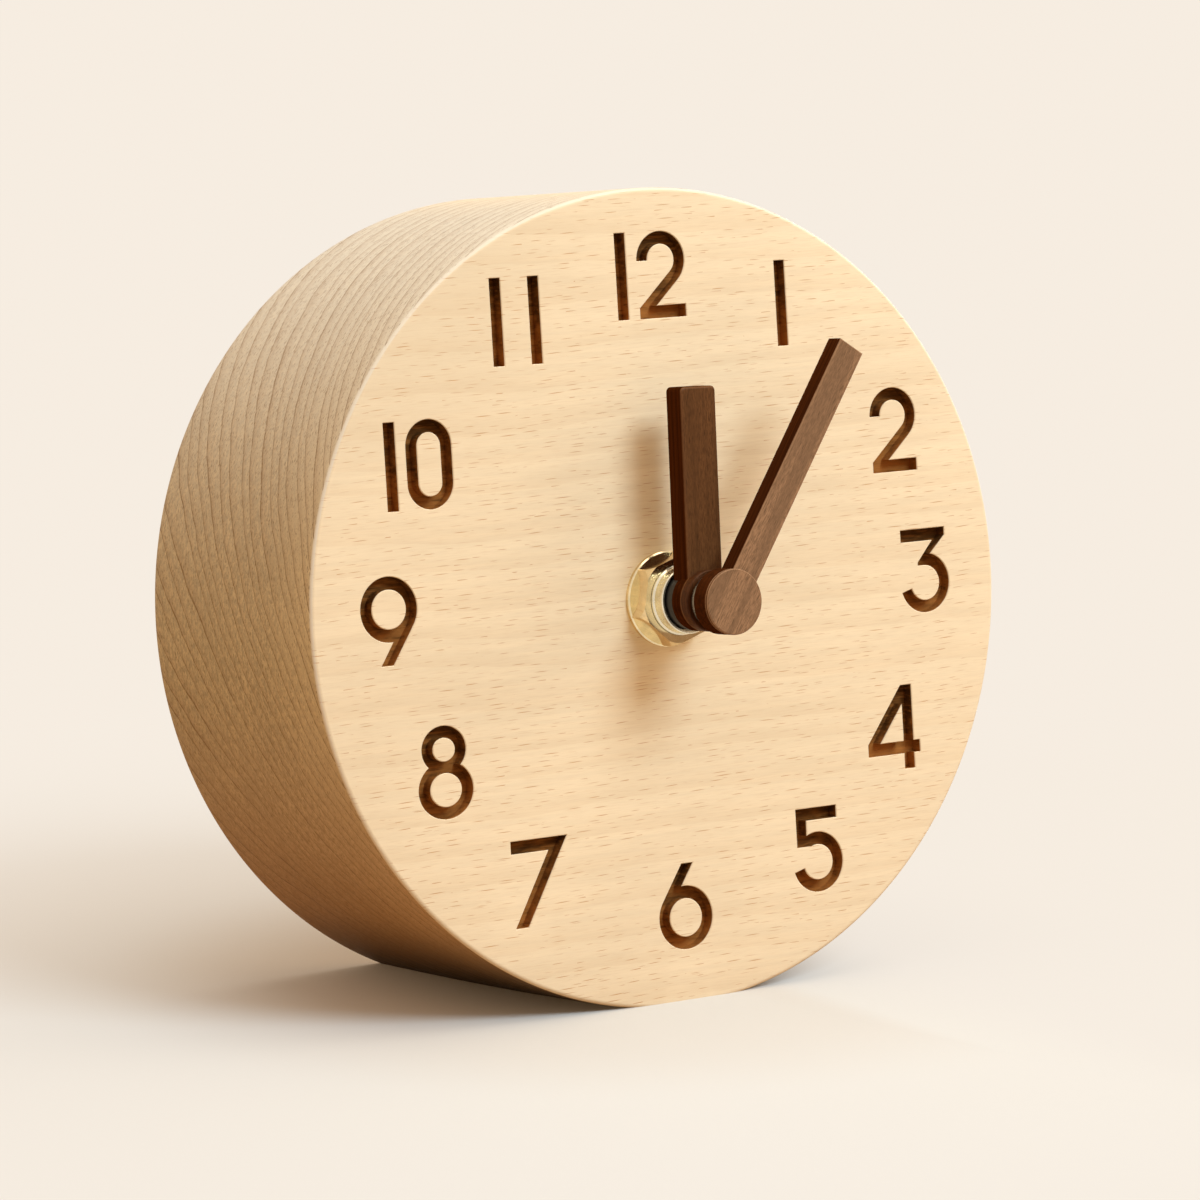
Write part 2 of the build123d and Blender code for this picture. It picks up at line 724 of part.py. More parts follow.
def negative_contact():
    """Plate at the cell's flat end with a bowed leaf that presses on it, and its tab."""
    wall = -cavity_half
    plate = block((wall, -battery_drop - contact_width / 2),
                  (wall + contact_thickness, -battery_drop + contact_width / 2),
                  battery_y - contact_length / 2, battery_y + contact_length / 2)
    cell_end = battery_end_x - battery_length
    foot = wall + contact_thickness
    reach = cell_end - foot
    low = (foot, -battery_drop - contact_bow_width)
    top = (foot, -battery_drop + contact_bow_width)
    middle = (cell_end, -battery_drop)
    outer = make_face(Polyline(low, top, middle, low))
    inner_shift = contact_thickness * math.hypot(reach, contact_bow_width) / contact_bow_width
    inner_height = contact_bow_width * (reach - inner_shift) / reach
    inner = make_face(Polyline((foot, -battery_drop - inner_height), (foot, -battery_drop + inner_height),
                               (cell_end - inner_shift, -battery_drop), (foot, -battery_drop - inner_height)))
    leaf = prism(outer - inner, battery_y - contact_width / 2, battery_y + contact_width / 2)
    return plate + leaf + contact_tab(-1)


def circuit_board():
    """Slim circuit board above the battery bay."""
    board = Pos(0, -board_drop) * Rectangle(2 * board_half, board_width)
    return prism(board, board_front_y, board_back_y)


def controller_chip():
    """Moulded controller on the back of the board."""
    chip = Pos(0, -board_drop) * Rectangle(chip_size, chip_size)
    return prism(chip, board_back_y, board_back_y + chip_thickness)


def quartz_crystal():
    """Watch crystal in a small can, lying on the front of the board."""
    far_end = board_half - crystal_end_gap
    start = (far_end, board_front_y - crystal_radius, axis_height - board_drop)
    end_plane = Plane(origin=start, x_dir=(0, 1, 0), z_dir=(1, 0, 0))
    return extrude(end_plane * Circle(crystal_radius), amount=-crystal_length)


nodes = {
    "case_block": case_block,
    "threaded_bushing": threaded_bushing,
    "sealing_washer": sealing_washer,
    "dial_washer": dial_washer,
    "hex_nut": hex_nut,
    "hour_wheel": hour_wheel,
    "hour_collar": hour_collar,
    "hour_hand": hour_hand,
    "minute_arbor": minute_arbor,
    "minute_collar": minute_collar,
    "minute_hand": minute_hand,
    "hand_cap": hand_cap,
    "minute_wheel": minute_wheel,
    "setting_knob": setting_knob,
    "centre_wheel": centre_wheel,
    "third_wheel": third_wheel,
    "second_wheel": second_wheel,
    "intermediate_wheel": intermediate_wheel,
    "rotor": rotor,
    "movement_housing": movement_housing,
    "movement_cover": movement_cover,
    "train_bridge": train_bridge,
    "stator_plate": stator_plate,
    "coil_core": coil_core,
    "coil_bobbin": coil_bobbin,
    "coil_winding": coil_winding,
    "battery_cell": battery_cell,
    "positive_contact": positive_contact,
    "negative_contact": negative_contact,
    "circuit_board": circuit_board,
    "controller_chip": controller_chip,
    "quartz_crystal": quartz_crystal,
}

os.makedirs("parts", exist_ok=True)
for name, make in nodes.items():
    export_step(Rot(-lean_degrees, 0, 0) * make(), f"parts/{name}.step")
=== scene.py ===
"""Round beech table clock: engraved case, walnut hands, brass fixing and quartz movement."""
import json
import math

import bmesh
import bpy
import numpy as np
from mathutils import Matrix, Vector
from mathutils.geometry import delaunay_2d_cdt


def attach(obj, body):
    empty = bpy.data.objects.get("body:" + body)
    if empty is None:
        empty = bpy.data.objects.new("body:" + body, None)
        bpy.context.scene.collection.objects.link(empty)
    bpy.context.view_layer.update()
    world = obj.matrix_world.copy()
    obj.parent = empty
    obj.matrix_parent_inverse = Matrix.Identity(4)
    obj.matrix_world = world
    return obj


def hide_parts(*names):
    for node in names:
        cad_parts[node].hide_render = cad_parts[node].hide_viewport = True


bl_info = {
    "name": "Beech Table Clock",
    "version": (1, 0, 0),
    "blender": (4, 5, 0),
    "location": "3D View > Sidebar > Clock",
    "description": "Finishes a round beech table clock with an engraved dial and walnut hands",
    "category": "Object",
}

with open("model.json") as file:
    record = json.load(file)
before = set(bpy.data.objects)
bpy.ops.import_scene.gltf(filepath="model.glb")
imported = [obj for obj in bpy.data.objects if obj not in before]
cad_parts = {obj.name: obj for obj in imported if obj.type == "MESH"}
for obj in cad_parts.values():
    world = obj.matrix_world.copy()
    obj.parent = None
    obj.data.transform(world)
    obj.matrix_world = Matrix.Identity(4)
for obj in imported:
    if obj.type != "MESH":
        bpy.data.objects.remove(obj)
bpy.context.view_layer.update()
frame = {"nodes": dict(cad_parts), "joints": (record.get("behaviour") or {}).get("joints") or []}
nodes = frame["nodes"]
hand_joint = next(joint for joint in frame["joints"] if joint["name"] == "minute_hand_turn")
lean_back = math.atan2(-hand_joint["axis"][2], hand_joint["axis"][1])
LEAN = np.array(Matrix.Rotation(-lean_back, 3, "X"))
MILLIMETRE = 0.001


def leaned(points):
    """Points about an upright dial, laid back with the clock about the middle of its base."""
    return np.asarray(points) @ LEAN.T


def upright_points(item):
    """Corner points of an object's mesh, turned until the dial stands upright."""
    points = np.empty(len(item.data.vertices) * 3)
    item.data.vertices.foreach_get("co", points)
    return points.reshape(-1, 3) @ LEAN


def upright_box(name):
    """Lowest and highest corner of a node when the dial stands upright."""
    points = upright_points(nodes[name])
    return Vector(points.min(axis=0)), Vector(points.max(axis=0))


case_low, case_high = upright_box("case_block")
housing_low, housing_high = upright_box("movement_housing")
pocket_floor = upright_box("sealing_washer")[0].y
axis_height = float((np.array(hand_joint["pos_m"]) @ LEAN)[2])
dial_centre = Vector(leaned((0, case_low.y, axis_height)))


def widest_radius(name):
    """Largest distance of a node's points from the clock's axis."""
    points = upright_points(nodes[name])
    return float(np.hypot(points[:, 0], points[:, 2] - axis_height).max())


class ClockCaseSettings(bpy.types.PropertyGroup):
    """Sizes of the beech case and of the numerals cut into its dial."""

    radius: bpy.props.FloatProperty(
        name="Case radius", description="Radius of the beech block",
        default=widest_radius("case_block"), subtype="DISTANCE", unit="LENGTH")
    edge: bpy.props.FloatProperty(
        name="Rim radius", description="Rounding of the front and back rims",
        default=0.0007, subtype="DISTANCE", unit="LENGTH")
    pocket_clearance: bpy.props.FloatProperty(
        name="Pocket clearance", description="Space between the movement and its pocket",
        default=0.002, subtype="DISTANCE", unit="LENGTH")
    pocket_corner: bpy.props.FloatProperty(
        name="Pocket corner", description="Corner radius of the pocket",
        default=0.006, subtype="DISTANCE", unit="LENGTH")
    bore: bpy.props.FloatProperty(
        name="Bore radius", description="Radius of the hole for the bushing",
        default=0.0055, subtype="DISTANCE", unit="LENGTH")
    numeral_height: bpy.props.FloatProperty(
        name="Numeral height", description="Height of a cut numeral",
        default=0.01265, subtype="DISTANCE", unit="LENGTH")
    numeral_depth: bpy.props.FloatProperty(
        name="Numeral depth", description="Depth of the cut",
        default=0.002, subtype="DISTANCE", unit="LENGTH")
    numeral_ease: bpy.props.FloatProperty(
        name="Eased edge", description="Width of the eased edge of the cut",
        default=0.0001, subtype="DISTANCE", unit="LENGTH")


class ClockColourSettings(bpy.types.PropertyGroup):
    """Colours of the woods, metals and plastics."""

    beech: bpy.props.FloatVectorProperty(
        name="Beech", description="Ground colour of the beech", subtype="COLOR",
        default=(0.95, 0.80, 0.575), min=0, max=1)
    beech_line: bpy.props.FloatVectorProperty(
        name="Beech growth line", description="Late wood of the beech", subtype="COLOR",
        default=(0.62, 0.39, 0.19), min=0, max=1)
    beech_fleck: bpy.props.FloatVectorProperty(
        name="Beech fleck", description="Rays of the beech, seen as short flecks", subtype="COLOR",
        default=(0.55, 0.245, 0.066), min=0, max=1)
    end_grain: bpy.props.FloatVectorProperty(
        name="Beech end grain", description="Ground colour of the turned side", subtype="COLOR",
        default=(0.72, 0.60, 0.38), min=0, max=1)
    growth_line: bpy.props.FloatVectorProperty(
        name="Growth line", description="Thin lines on the end grain", subtype="COLOR",
        default=(0.34, 0.185, 0.072), min=0, max=1)
    # Painted sheen: a pale colour laid on the upper side of the end grain and along the front rim,
    # where light falls.
    painted_sheen: bpy.props.FloatVectorProperty(
        name="Pale beech", description="Rim and upper side of the beech", subtype="COLOR",
        default=(0.86, 0.84, 0.77), min=0, max=1)
    burnt: bpy.props.FloatVectorProperty(
        name="Burnt cut", description="Scorched wood in the numerals", subtype="COLOR",
        default=(0.275, 0.112, 0.027), min=0, max=1)
    hour_walnut: bpy.props.FloatVectorProperty(
        name="Hour hand walnut", description="Walnut of the hour hand", subtype="COLOR",
        default=(0.125, 0.052, 0.019), min=0, max=1)
    # Painted shade: the dark colour laid on the sides of the walnut hands and on their boss.
    painted_side_shade: bpy.props.FloatVectorProperty(
        name="Oiled side", description="Dark sides of the walnut hands", subtype="COLOR",
        default=(0.052, 0.013, 0.0025), min=0, max=1)
    minute_walnut: bpy.props.FloatVectorProperty(
        name="Minute hand walnut", description="Walnut of the minute hand and cap", subtype="COLOR",
        default=(0.288, 0.163, 0.089), min=0, max=1)
    brass: bpy.props.FloatVectorProperty(
        name="Brass", description="Polished brass", subtype="COLOR",
        default=(0.88, 0.74, 0.47), min=0, max=1)
    bushing: bpy.props.FloatVectorProperty(
        name="Bushing", description="Satin brass of the bushing", subtype="COLOR",
        default=(0.84, 0.77, 0.60), min=0, max=1)


class ClockStageSettings(bpy.types.PropertyGroup):
    """Floor, light and viewpoint."""

    floor: bpy.props.FloatVectorProperty(
        name="Floor", description="Colour of the paper floor", subtype="COLOR",
        default=(0.70, 0.72, 0.735), min=0, max=1)
    backdrop: bpy.props.FloatVectorProperty(
        name="Backdrop", description="Colour behind the clock", subtype="COLOR",
        default=(0.925, 0.845, 0.752), min=0, max=1)
    bounce: bpy.props.FloatVectorProperty(
        name="Floor bounce", description="Light sent up by the floor", subtype="COLOR",
        default=(0.38, 0.25, 0.14), min=0, max=1)
    # Painted contact shadow: a warm brown glow laid on the floor close to the wood.
    contact: bpy.props.FloatVectorProperty(
        name="Contact glow", description="Warm tone close to the wood", subtype="COLOR",
        default=(0.62, 0.34, 0.14), min=0, max=1)
    room: bpy.props.FloatVectorProperty(
        name="Room light", description="Colour of the light from all sides", subtype="COLOR",
        default=(1.0, 0.71, 0.46), min=0, max=1)
    room_level: bpy.props.FloatProperty(
        name="Room level", description="Level of the light from all sides", default=0.57, min=0)
    key_colour: bpy.props.FloatVectorProperty(
        name="Key colour", description="Large lamp at the upper right", subtype="COLOR",
        default=(0.75, 0.91, 1.0), min=0, max=1)
    fill_colour: bpy.props.FloatVectorProperty(
        name="Fill colour", description="Lamps at the right and overhead", subtype="COLOR",
        default=(1.0, 0.88, 0.72), min=0, max=1)
    key_power: bpy.props.FloatProperty(
        name="Key power", description="Power of the large lamp at the upper right", default=12.2,
        unit="POWER")
    right_power: bpy.props.FloatProperty(
        name="Right power", description="Power of the broad lamp at the right", default=4.5,
        unit="POWER")
    top_power: bpy.props.FloatProperty(
        name="Top power", description="Power of the lamp overhead", default=7.0, unit="POWER")
    azimuth: bpy.props.FloatProperty(
        name="Azimuth", description="Camera's turn round the clock", default=-0.594743,
        subtype="ANGLE", unit="ROTATION")
    elevation: bpy.props.FloatProperty(
        name="Elevation", description="Camera's height angle", default=0.158175,
        subtype="ANGLE", unit="ROTATION")
    distance: bpy.props.FloatProperty(
        name="Distance", description="Camera's distance from the dial", default=0.80177,
        subtype="DISTANCE", unit="LENGTH")
    aim_right: bpy.props.FloatProperty(
        name="Aim right", description="Share by which the camera looks right of the dial's centre",
        default=-0.012005, precision=6)
    aim_up: bpy.props.FloatProperty(
        name="Aim up", description="Share by which the camera looks above the dial's centre",
        default=-0.000255, precision=6)
    lens: bpy.props.FloatProperty(
        name="Focal length", description="Focal length in millimetres", default=164.53)


class Value:
    """A node's output, with the arithmetic of the Math node written as Python operators."""

    def __init__(self, finish, node, socket):
        self.finish = finish
        self.node = node
        self.socket = socket

    def out(self, name):
        """Another output of the same node."""
        return Value(self.finish, self.node, self.node.outputs[name])

    def with_math(self, operation, *terms):
        """A Math node on these terms."""
        return self.finish.node("ShaderNodeMath", {"operation": operation}, dict(enumerate(terms)))

    def __add__(self, other):
        return self.with_math("ADD", self, other)

    def __radd__(self, other):
        return self.with_math("ADD", other, self)

    def __sub__(self, other):
        return self.with_math("SUBTRACT", self, other)

    def __rsub__(self, other):
        return self.with_math("SUBTRACT", other, self)

    def __mul__(self, other):
        return self.with_math("MULTIPLY", self, other)

    def __rmul__(self, other):
        return self.with_math("MULTIPLY", other, self)

    def __truediv__(self, other):
        return self.with_math("DIVIDE", self, other)

    def __abs__(self):
        return self.with_math("ABSOLUTE", self)

    def fraction(self):
        """The part after the decimal point."""
        return self.with_math("FRACT", self)

    def between(self, low, high):
        """Smooth rise from 0 at low to 1 at high."""
        settings = {"interpolation_type": "SMOOTHSTEP"}
        return self.finish.node("ShaderNodeMapRange", settings,
                                {"Value": self, "From Min": low, "From Max": high})


class Finish:
    """A material or a world under construction, with its node tree."""

    def __init__(self, name, world=False):
        self.material = (bpy.data.worlds if world else bpy.data.materials).new(name)
        self.material.use_nodes = True
        self.tree = self.material.node_tree
        self.shader = self.tree.nodes["Background" if world else "Principled BSDF"]
        self.output = self.tree.nodes["World Output" if world else "Material Output"]

    def node(self, kind, settings=None, sockets=None):
        """A node of a kind: its settings are set first, then its sockets are set or linked."""
        node = self.tree.nodes.new(kind)
        for name, value in (settings or {}).items():
            setattr(node, name, value)
        for name, value in (sockets or {}).items():
            self.feed(node.inputs[name], value)
        return Value(self, node, next(o for o in node.outputs if o.enabled))

    def feed(self, socket, value):
        """Links a socket to a value, or sets its constant."""
        if isinstance(value, Value):
            self.tree.links.new(value.socket, socket)
        else:
            socket.default_value = value

    def place(self, turn=0.0):
        """Millimetres about the axis as if the dial stood upright, turned about the axis."""
        whole = self.node("ShaderNodeTexCoord").out("Object")
        stood = self.node("ShaderNodeMapping", None, {
            "Vector": whole, "Rotation": (lean_back, 0, 0), "Location": (0, 0, -axis_height)})
        turned = self.node("ShaderNodeMapping", None, {"Vector": stood, "Rotation": (0, turn, 0)})
        return self.stretched(turned, (1 / MILLIMETRE,) * 3)

    def on_floor(self):
        """Millimetres from the middle of the base."""
        whole = self.node("ShaderNodeTexCoord").out("Object")
        return self.stretched(whole, (1 / MILLIMETRE,) * 3)

    def axes(self, vector):
        """The three parts of a vector."""
        split = self.node("ShaderNodeSeparateXYZ", None, {"Vector": vector})
        return split.out("X"), split.out("Y"), split.out("Z")

    def joined(self, x=0.0, y=0.0, z=0.0):
        """A vector of three parts."""
        return self.node("ShaderNodeCombineXYZ", None, {"X": x, "Y": y, "Z": z})

    def length(self, vector):
        """Length of a vector."""
        return self.node("ShaderNodeVectorMath", {"operation": "LENGTH"}, {0: vector}).out("Value")

    def stretched(self, vector, scale):
        """A vector with each part scaled by itself."""
        return self.node("ShaderNodeVectorMath", {"operation": "MULTIPLY"}, {0: vector, 1: scale})

    def noise(self, vector, pace, detail, roughness):
        """Soft noise between 0 and 1, with a pace along each axis."""
        return self.node("ShaderNodeTexNoise", None, {
            "Vector": self.stretched(vector, pace), "Scale": 1.0, "Detail": detail,
            "Roughness": roughness})

    def cells(self, vector, pace):
        """Distance to the nearest of scattered points, with a pace along each axis."""
        return self.node("ShaderNodeTexVoronoi", None, {
            "Vector": self.stretched(vector, pace), "Scale": 1.0})

    def mix(self, factor, first, second):
        """Colour between two colours."""
        node = self.node("ShaderNodeMix", {"data_type": "RGBA"})
        for index, value in ((0, factor), (6, first), (7, second)):
            if index and not isinstance(value, Value):
                value = (*value[:3], 1.0)
            self.feed(node.node.inputs[index], value)
        return Value(self, node.node, node.node.outputs[2])

    def bump(self, height, distance, strength=1.0):
        """Surface relief of a height in shares of a distance."""
        return self.node("ShaderNodeBump", None, {
            "Height": height, "Distance": distance, "Strength": strength})

    def seen(self):
        """1 for the rays by which the camera, mirrors and glass see the background, else 0."""
        ray = self.node("ShaderNodeLightPath")
        clear = ray.with_math("MAXIMUM", ray.out("Is Glossy Ray"), ray.out("Is Transmission Ray"))
        return ray.with_math("MAXIMUM", ray.out("Is Camera Ray"), clear)

    def shaded(self, factor, first, second):
        """Shader between two shaders."""
        return self.node("ShaderNodeMixShader", None, {0: factor, 1: first, 2: second})

    def ends_in(self, shader):
        """Makes a shader the whole surface and returns the material."""
        self.feed(self.output.inputs["Surface"], shader)
        return self.material

    def surface(self, **sockets):
        """Sets the shader's sockets and returns the material."""
        for name, value in sockets.items():
            socket = self.shader.inputs[name.replace("_", " ").title().replace("Ior", "IOR")]
            if socket.type == "RGBA" and not isinstance(value, Value):
                value = (*value[:3], 1.0)
            self.feed(socket, value)
        return self.material


def tinted(colour, factor):
    """A colour made darker or paler by a factor."""
    return tuple(min(1.0, part * factor) for part in colour[:3])


def arc(centre, radius, start, end, steps=28):
    """Points of a circle or an ellipse from one angle to another, in degrees."""
    angle = np.radians(np.linspace(start, end, steps))
    across, up = np.broadcast_to(np.asarray(radius, float), 2)
    return np.column_stack((centre[0] + across * np.cos(angle), centre[1] + up * np.sin(angle)))


def ring(centre, radius, steps=56):
    """Closed circle or ellipse."""
    return arc(centre, radius, 0, 360, steps + 1)[:-1]


# Numerals are drawn upright about their centre, in millimetres, at this height.
DRAWN_HEIGHT = 12.7
HALF = DRAWN_HEIGHT / 2
STROKE = 1.85

# Steps round a rim's edge, rows of points across the side, and the least angle of a sharp edge.
RIM_STEPS = 8
SIDE_ROWS = 21
SHARP_DEGREES = 30


def numeral_one():
    """A plain upright bar."""
    side = STROKE / 2
    return [np.array([(-side, -HALF), (side, -HALF), (side, HALF), (-side, HALF)])], []


def numeral_two():
    """A round head whose ends are tangent to a straight leg, on a flat foot."""
    head, outer, slope, foot = (0, HALF - 4.2), 4.2, 42.5, 4.05
    inner = outer - STROKE
    rise = HALF - STROKE
    lean = math.radians(slope)
    heel = (outer - (rise + head[1]) * math.cos(lean)) / math.sin(lean)
    loop = np.vstack((
        arc(head, outer, 180, slope - 90), [(heel, -rise), (foot, -rise), (foot, -HALF)],
        [(-foot, -HALF), (-foot, -rise - 0.25)], arc(head, inner, slope - 90, 180)))
    return [loop], []


def numeral_three():
    """A flat top, a slanted neck and a round bowl."""
    bowl, outer, end, bar = (0.05, -1.85), 4.5, -164, 4.1
    inner = outer - STROKE
    neck = np.array([(1.75, HALF - STROKE), (-1.1, 1.3), (-1.15, bowl[1] + inner)])
    loop = np.vstack((
        [(-bar, HALF), (bar, HALF), (bar, HALF - 1.25)], arc(bowl, outer, 74, end, 40),
        arc(bowl, inner, end, 90, 40), neck[::-1], [(-bar, HALF - STROKE)]))
    return [loop], []


def numeral_four():
    """A slanted side, a crossbar that passes the stem, and a three-sided hole."""
    bar_top, bar_low = -2.15, -2.15 - STROKE
    stem, side, tip, tail = 3.4, 3.4 - STROKE, -5.1, 4.55
    loop = np.array([
        (side - 0.15, HALF), (stem, HALF), (stem, bar_top), (tail, bar_top), (tail, bar_low),
        (stem, bar_low), (stem, -HALF), (side, -HALF), (side, bar_low), (tip, bar_low),
        (tip, bar_top)])
    hole = np.array([(-2.78, bar_top), (side, bar_top), (side, 3.5)])
    return [loop], [hole]


def numeral_five():
    """A flat top, a short stem and a round bowl."""
    bowl, outer, end, bar = (-0.05, -1.85), 4.5, -164, 3.7
    inner = outer - STROKE
    loop = np.vstack((
        [(-bar, HALF), (bar, HALF), (bar, HALF - STROKE), (STROKE - bar, HALF - STROKE)],
        arc(bowl, outer, 114.3, end, 44), arc(bowl, inner, end, 112.4, 44), [(-bar, 0.6)]))
    return [loop], []


def numeral_six():
    """A ring with a straight stem that leaves it at a tangent."""
    middle, outer, top = (0, -1.65), 4.7, (-0.3, 1.75)
    loop = np.vstack((
        [(top[0], HALF), (top[1], HALF)], arc(middle, outer, 95.8, 146.2 - 360, 64)))
    return [loop], [ring(middle, outer - STROKE)]


def numeral_seven():
    """A flat top and a straight slanted leg."""
    bar, foot = 4.85, (-4.75, -2.57)
    loop = np.array([
        (-bar, HALF), (bar, HALF), (foot[1], -HALF), (foot[0], -HALF), (1.56, HALF - STROKE),
        (-bar, HALF - STROKE)])
    return [loop], []


def numeral_eight():
    """Two rings that run into each other, the lower one larger."""
    low, low_radius, high, high_radius = (0, -2.5), (4.6, 4.2), (0, 3.32), (3.72, 3.45)
    level = np.linspace(-0.1, 1.6, 1701)
    low_half = low_radius[0] * np.sqrt(1 - ((level - low[1]) / low_radius[1]) ** 2)
    high_half = high_radius[0] * np.sqrt(1 - ((level - high[1]) / high_radius[1]) ** 2)
    waist = level[np.argmin(np.abs(low_half - high_half))]
    low_end = math.degrees(math.asin((waist - low[1]) / low_radius[1]))
    high_end = math.degrees(math.asin((waist - high[1]) / high_radius[1]))
    loop = np.vstack((
        arc(low, low_radius, 180 - low_end, 360 + low_end, 48),
        arc(high, high_radius, high_end, 180 - high_end, 48)[1:-1]))
    return [loop], [ring(low, (2.65, 2.45)), ring(high, (1.87, 1.72))]


def numeral_nine():
    """The six turned half round."""
    loops, holes = numeral_six()
    return [-loop for loop in loops], [-hole for hole in holes]


def numeral_nought():
    """A tall ring with straight sides."""
    reach, half = 3.83, 6.45

    def stadium(inset):
        """Loop of two half circles and two straight sides, drawn in by an inset."""
        radius = reach - inset
        lift = half - reach
        return np.vstack((arc((0, lift), radius, 0, 180), arc((0, -lift), radius, 180, 360)))
    return [stadium(0)], [stadium(STROKE)]


NUMERALS = [numeral_nought, numeral_one, numeral_two, numeral_three, numeral_four, numeral_five,
            numeral_six, numeral_seven, numeral_eight, numeral_nine]

# Numerals on the dial: digit and its centre from the clock's axis, in millimetres.
DIAL_PLACES = [
    (1, -4.4, 47.3), (2, 2.55, 47.25), (1, 23.55, 41.85), (2, 42.75, 21.7), (3, 47.1, 0.1),
    (4, 40.0, -23.1), (5, 24.6, -39.75), (6, 0.3, -45.4), (7, -24.4, -38.9), (8, -39.45, -21.45),
    (9, -47.1, 0.95), (1, -45.3, 22.65), (0, -38.9, 22.6), (1, -26.2, 42.0), (1, -19.7, 41.95)]


def signed_area(loop):
    """Area inside a loop, positive where it runs anticlockwise."""
    after = np.roll(loop, -1, axis=0)
    return 0.5 * float(np.sum(loop[:, 0] * after[:, 1] - after[:, 0] * loop[:, 1]))


def turned_to(loop, sign):
    """The loop, run the way that gives its area this sign."""
    return loop if signed_area(loop) * sign > 0 else loop[::-1]


def eased(loop, amount):
    """The loop moved to the right of its run: each point goes along its mitred normal."""
    step = np.roll(loop, -1, axis=0) - loop
    normal = np.column_stack((step[:, 1], -step[:, 0]))
    normal /= np.linalg.norm(normal, axis=1)[:, None]
    both = normal + np.roll(normal, 1, axis=0)
    both /= np.linalg.norm(both, axis=1)[:, None]
    cosine = np.clip(np.sum(both * normal, axis=1), 0.5, 1.0)
    return loop + both * (amount / cosine)[:, None]


def inside(points, loops):
    """Even-odd test of points against closed loops, as a flag for each point."""
    flags = np.zeros(len(points), bool)
    for loop in loops:
        after = np.roll(loop, -1, axis=0)
        level = points[:, 1][:, None]
        crosses = (loop[:, 1] > level) != (after[:, 1] > level)
        rise = after[:, 1] - loop[:, 1]
        rise = np.where(rise == 0, 1e-12, rise)
        at = loop[:, 0] + (level - loop[:, 1]) * (after[:, 0] - loop[:, 0]) / rise
        flags ^= (np.sum(crosses & (points[:, 0][:, None] < at), axis=1) % 2).astype(bool)
    return flags


def filled(loops):
    """Flat triangles between closed loops: corners in the plane and anticlockwise faces."""
    points = np.vstack(loops)
    starts = np.cumsum([0] + [len(loop) for loop in loops])
    edges = []
    for start, loop in zip(starts, loops):
        index = start + np.arange(len(loop))
        edges += np.column_stack((index, np.roll(index, -1))).tolist()
    # The plane is scaled up for the fill, so that its own tolerance stays far below an edge.
    scale = 1000.0
    result = delaunay_2d_cdt([Vector(p) for p in (points * scale).tolist()], edges, [], 0, 1e-7)
    corners = np.array([tuple(v) for v in result[0]]) / scale
    faces = np.array([f for f in result[2] if len(f) == 3])
    middle = corners[faces].mean(axis=1)
    faces = faces[inside(middle, loops)]
    a, b, c = (corners[faces[:, k]] for k in range(3))
    turn = (b - a)[:, 0] * (c - a)[:, 1] - (b - a)[:, 1] * (c - a)[:, 0]
    faces[turn < 0] = faces[turn < 0][:, ::-1]
    return corners, faces


class Shell:
    """Points and faces gathered from several surfaces into one mesh."""

    def __init__(self):
        self.points = []
        self.faces = []
        self.count = 0

    def add(self, points, faces):
        """Adds one surface."""
        self.points.append(points)
        self.faces += (np.asarray(faces) + self.count).tolist()
        self.count += len(points)

    def sheet(self, loops, depth, front=True):
        """Adds a flat face between loops at a depth, facing the viewer or the back."""
        corners, faces = filled(loops)
        self.add(raised(corners, depth), faces if front else faces[:, ::-1])

    def wall(self, rows, inward=True):
        """Adds a band through loops of equal length, facing the left or right of their run."""
        count = len(rows[0])
        grid = np.arange(count * len(rows)).reshape(len(rows), count)
        near, far = grid[:-1], grid[1:]
        quads = np.stack((near, np.roll(near, -1, 1), np.roll(far, -1, 1), far), -1).reshape(-1, 4)
        self.add(np.vstack(rows), quads if inward else quads[:, ::-1])

    def piece(self, name, sharp_degrees):
        """Welds the surfaces into one object, smooth except along sharp edges."""
        mesh = bpy.data.meshes.new(name)
        mesh.from_pydata(np.vstack(self.points).tolist(), [], self.faces)
        work = bmesh.new()
        work.from_mesh(mesh)
        bmesh.ops.remove_doubles(work, verts=work.verts, dist=1e-7)
        work.to_mesh(mesh)
        work.free()
        mesh.polygons.foreach_set("use_smooth", np.ones(len(mesh.polygons), bool))
        mesh.set_sharp_from_angle(angle=math.radians(sharp_degrees))
        piece = bpy.data.objects.new(name, mesh)
        bpy.context.scene.collection.objects.link(piece)
        return piece


def raised(loop, depth):
    """Points of a loop on the dial's plane, carried to a depth in the clock's frame."""
    depth = np.broadcast_to(depth, len(loop))
    return leaned(np.column_stack((loop[:, 0], depth, loop[:, 1] + axis_height)))


def case_loop(radius, depth, steps=288, flat_steps=12):
    """Circle about the axis, anticlockwise, cut by the slanted base at its level for the depth."""
    drop = axis_height - depth * math.tan(lean_back)
    cut = math.degrees(math.acos(min(1.0, drop / radius)))
    curve = arc((0, 0), radius, cut - 90, 270 - cut, steps)
    flat = np.linspace(curve[-1], curve[0], flat_steps + 1)[1:-1]
    return np.vstack((curve, flat))


def pocket_loop(low, high, corner, steps=10):
    """Rectangle with round corners between two corners of the plane, anticlockwise."""
    centres = [(high[0] - corner, high[1] - corner), (low[0] + corner, high[1] - corner),
               (low[0] + corner, low[1] + corner), (high[0] - corner, low[1] + corner)]
    return np.vstack([arc(c, corner, 90 * k, 90 * k + 90, steps) for k, c in enumerate(centres)])


def dial_numerals(height):
    """Outer loops and holes of every numeral on the dial, in metres from the axis."""
    scale = height / DRAWN_HEIGHT
    outer, holes = [], []
    for digit, across, up in DIAL_PLACES:
        shift = np.array((across, up)) * MILLIMETRE
        loops, inner = NUMERALS[digit]()
        outer += [turned_to(loop, 1) * scale + shift for loop in loops]
        holes += [turned_to(loop, -1) * scale + shift for loop in inner]
    return outer, holes


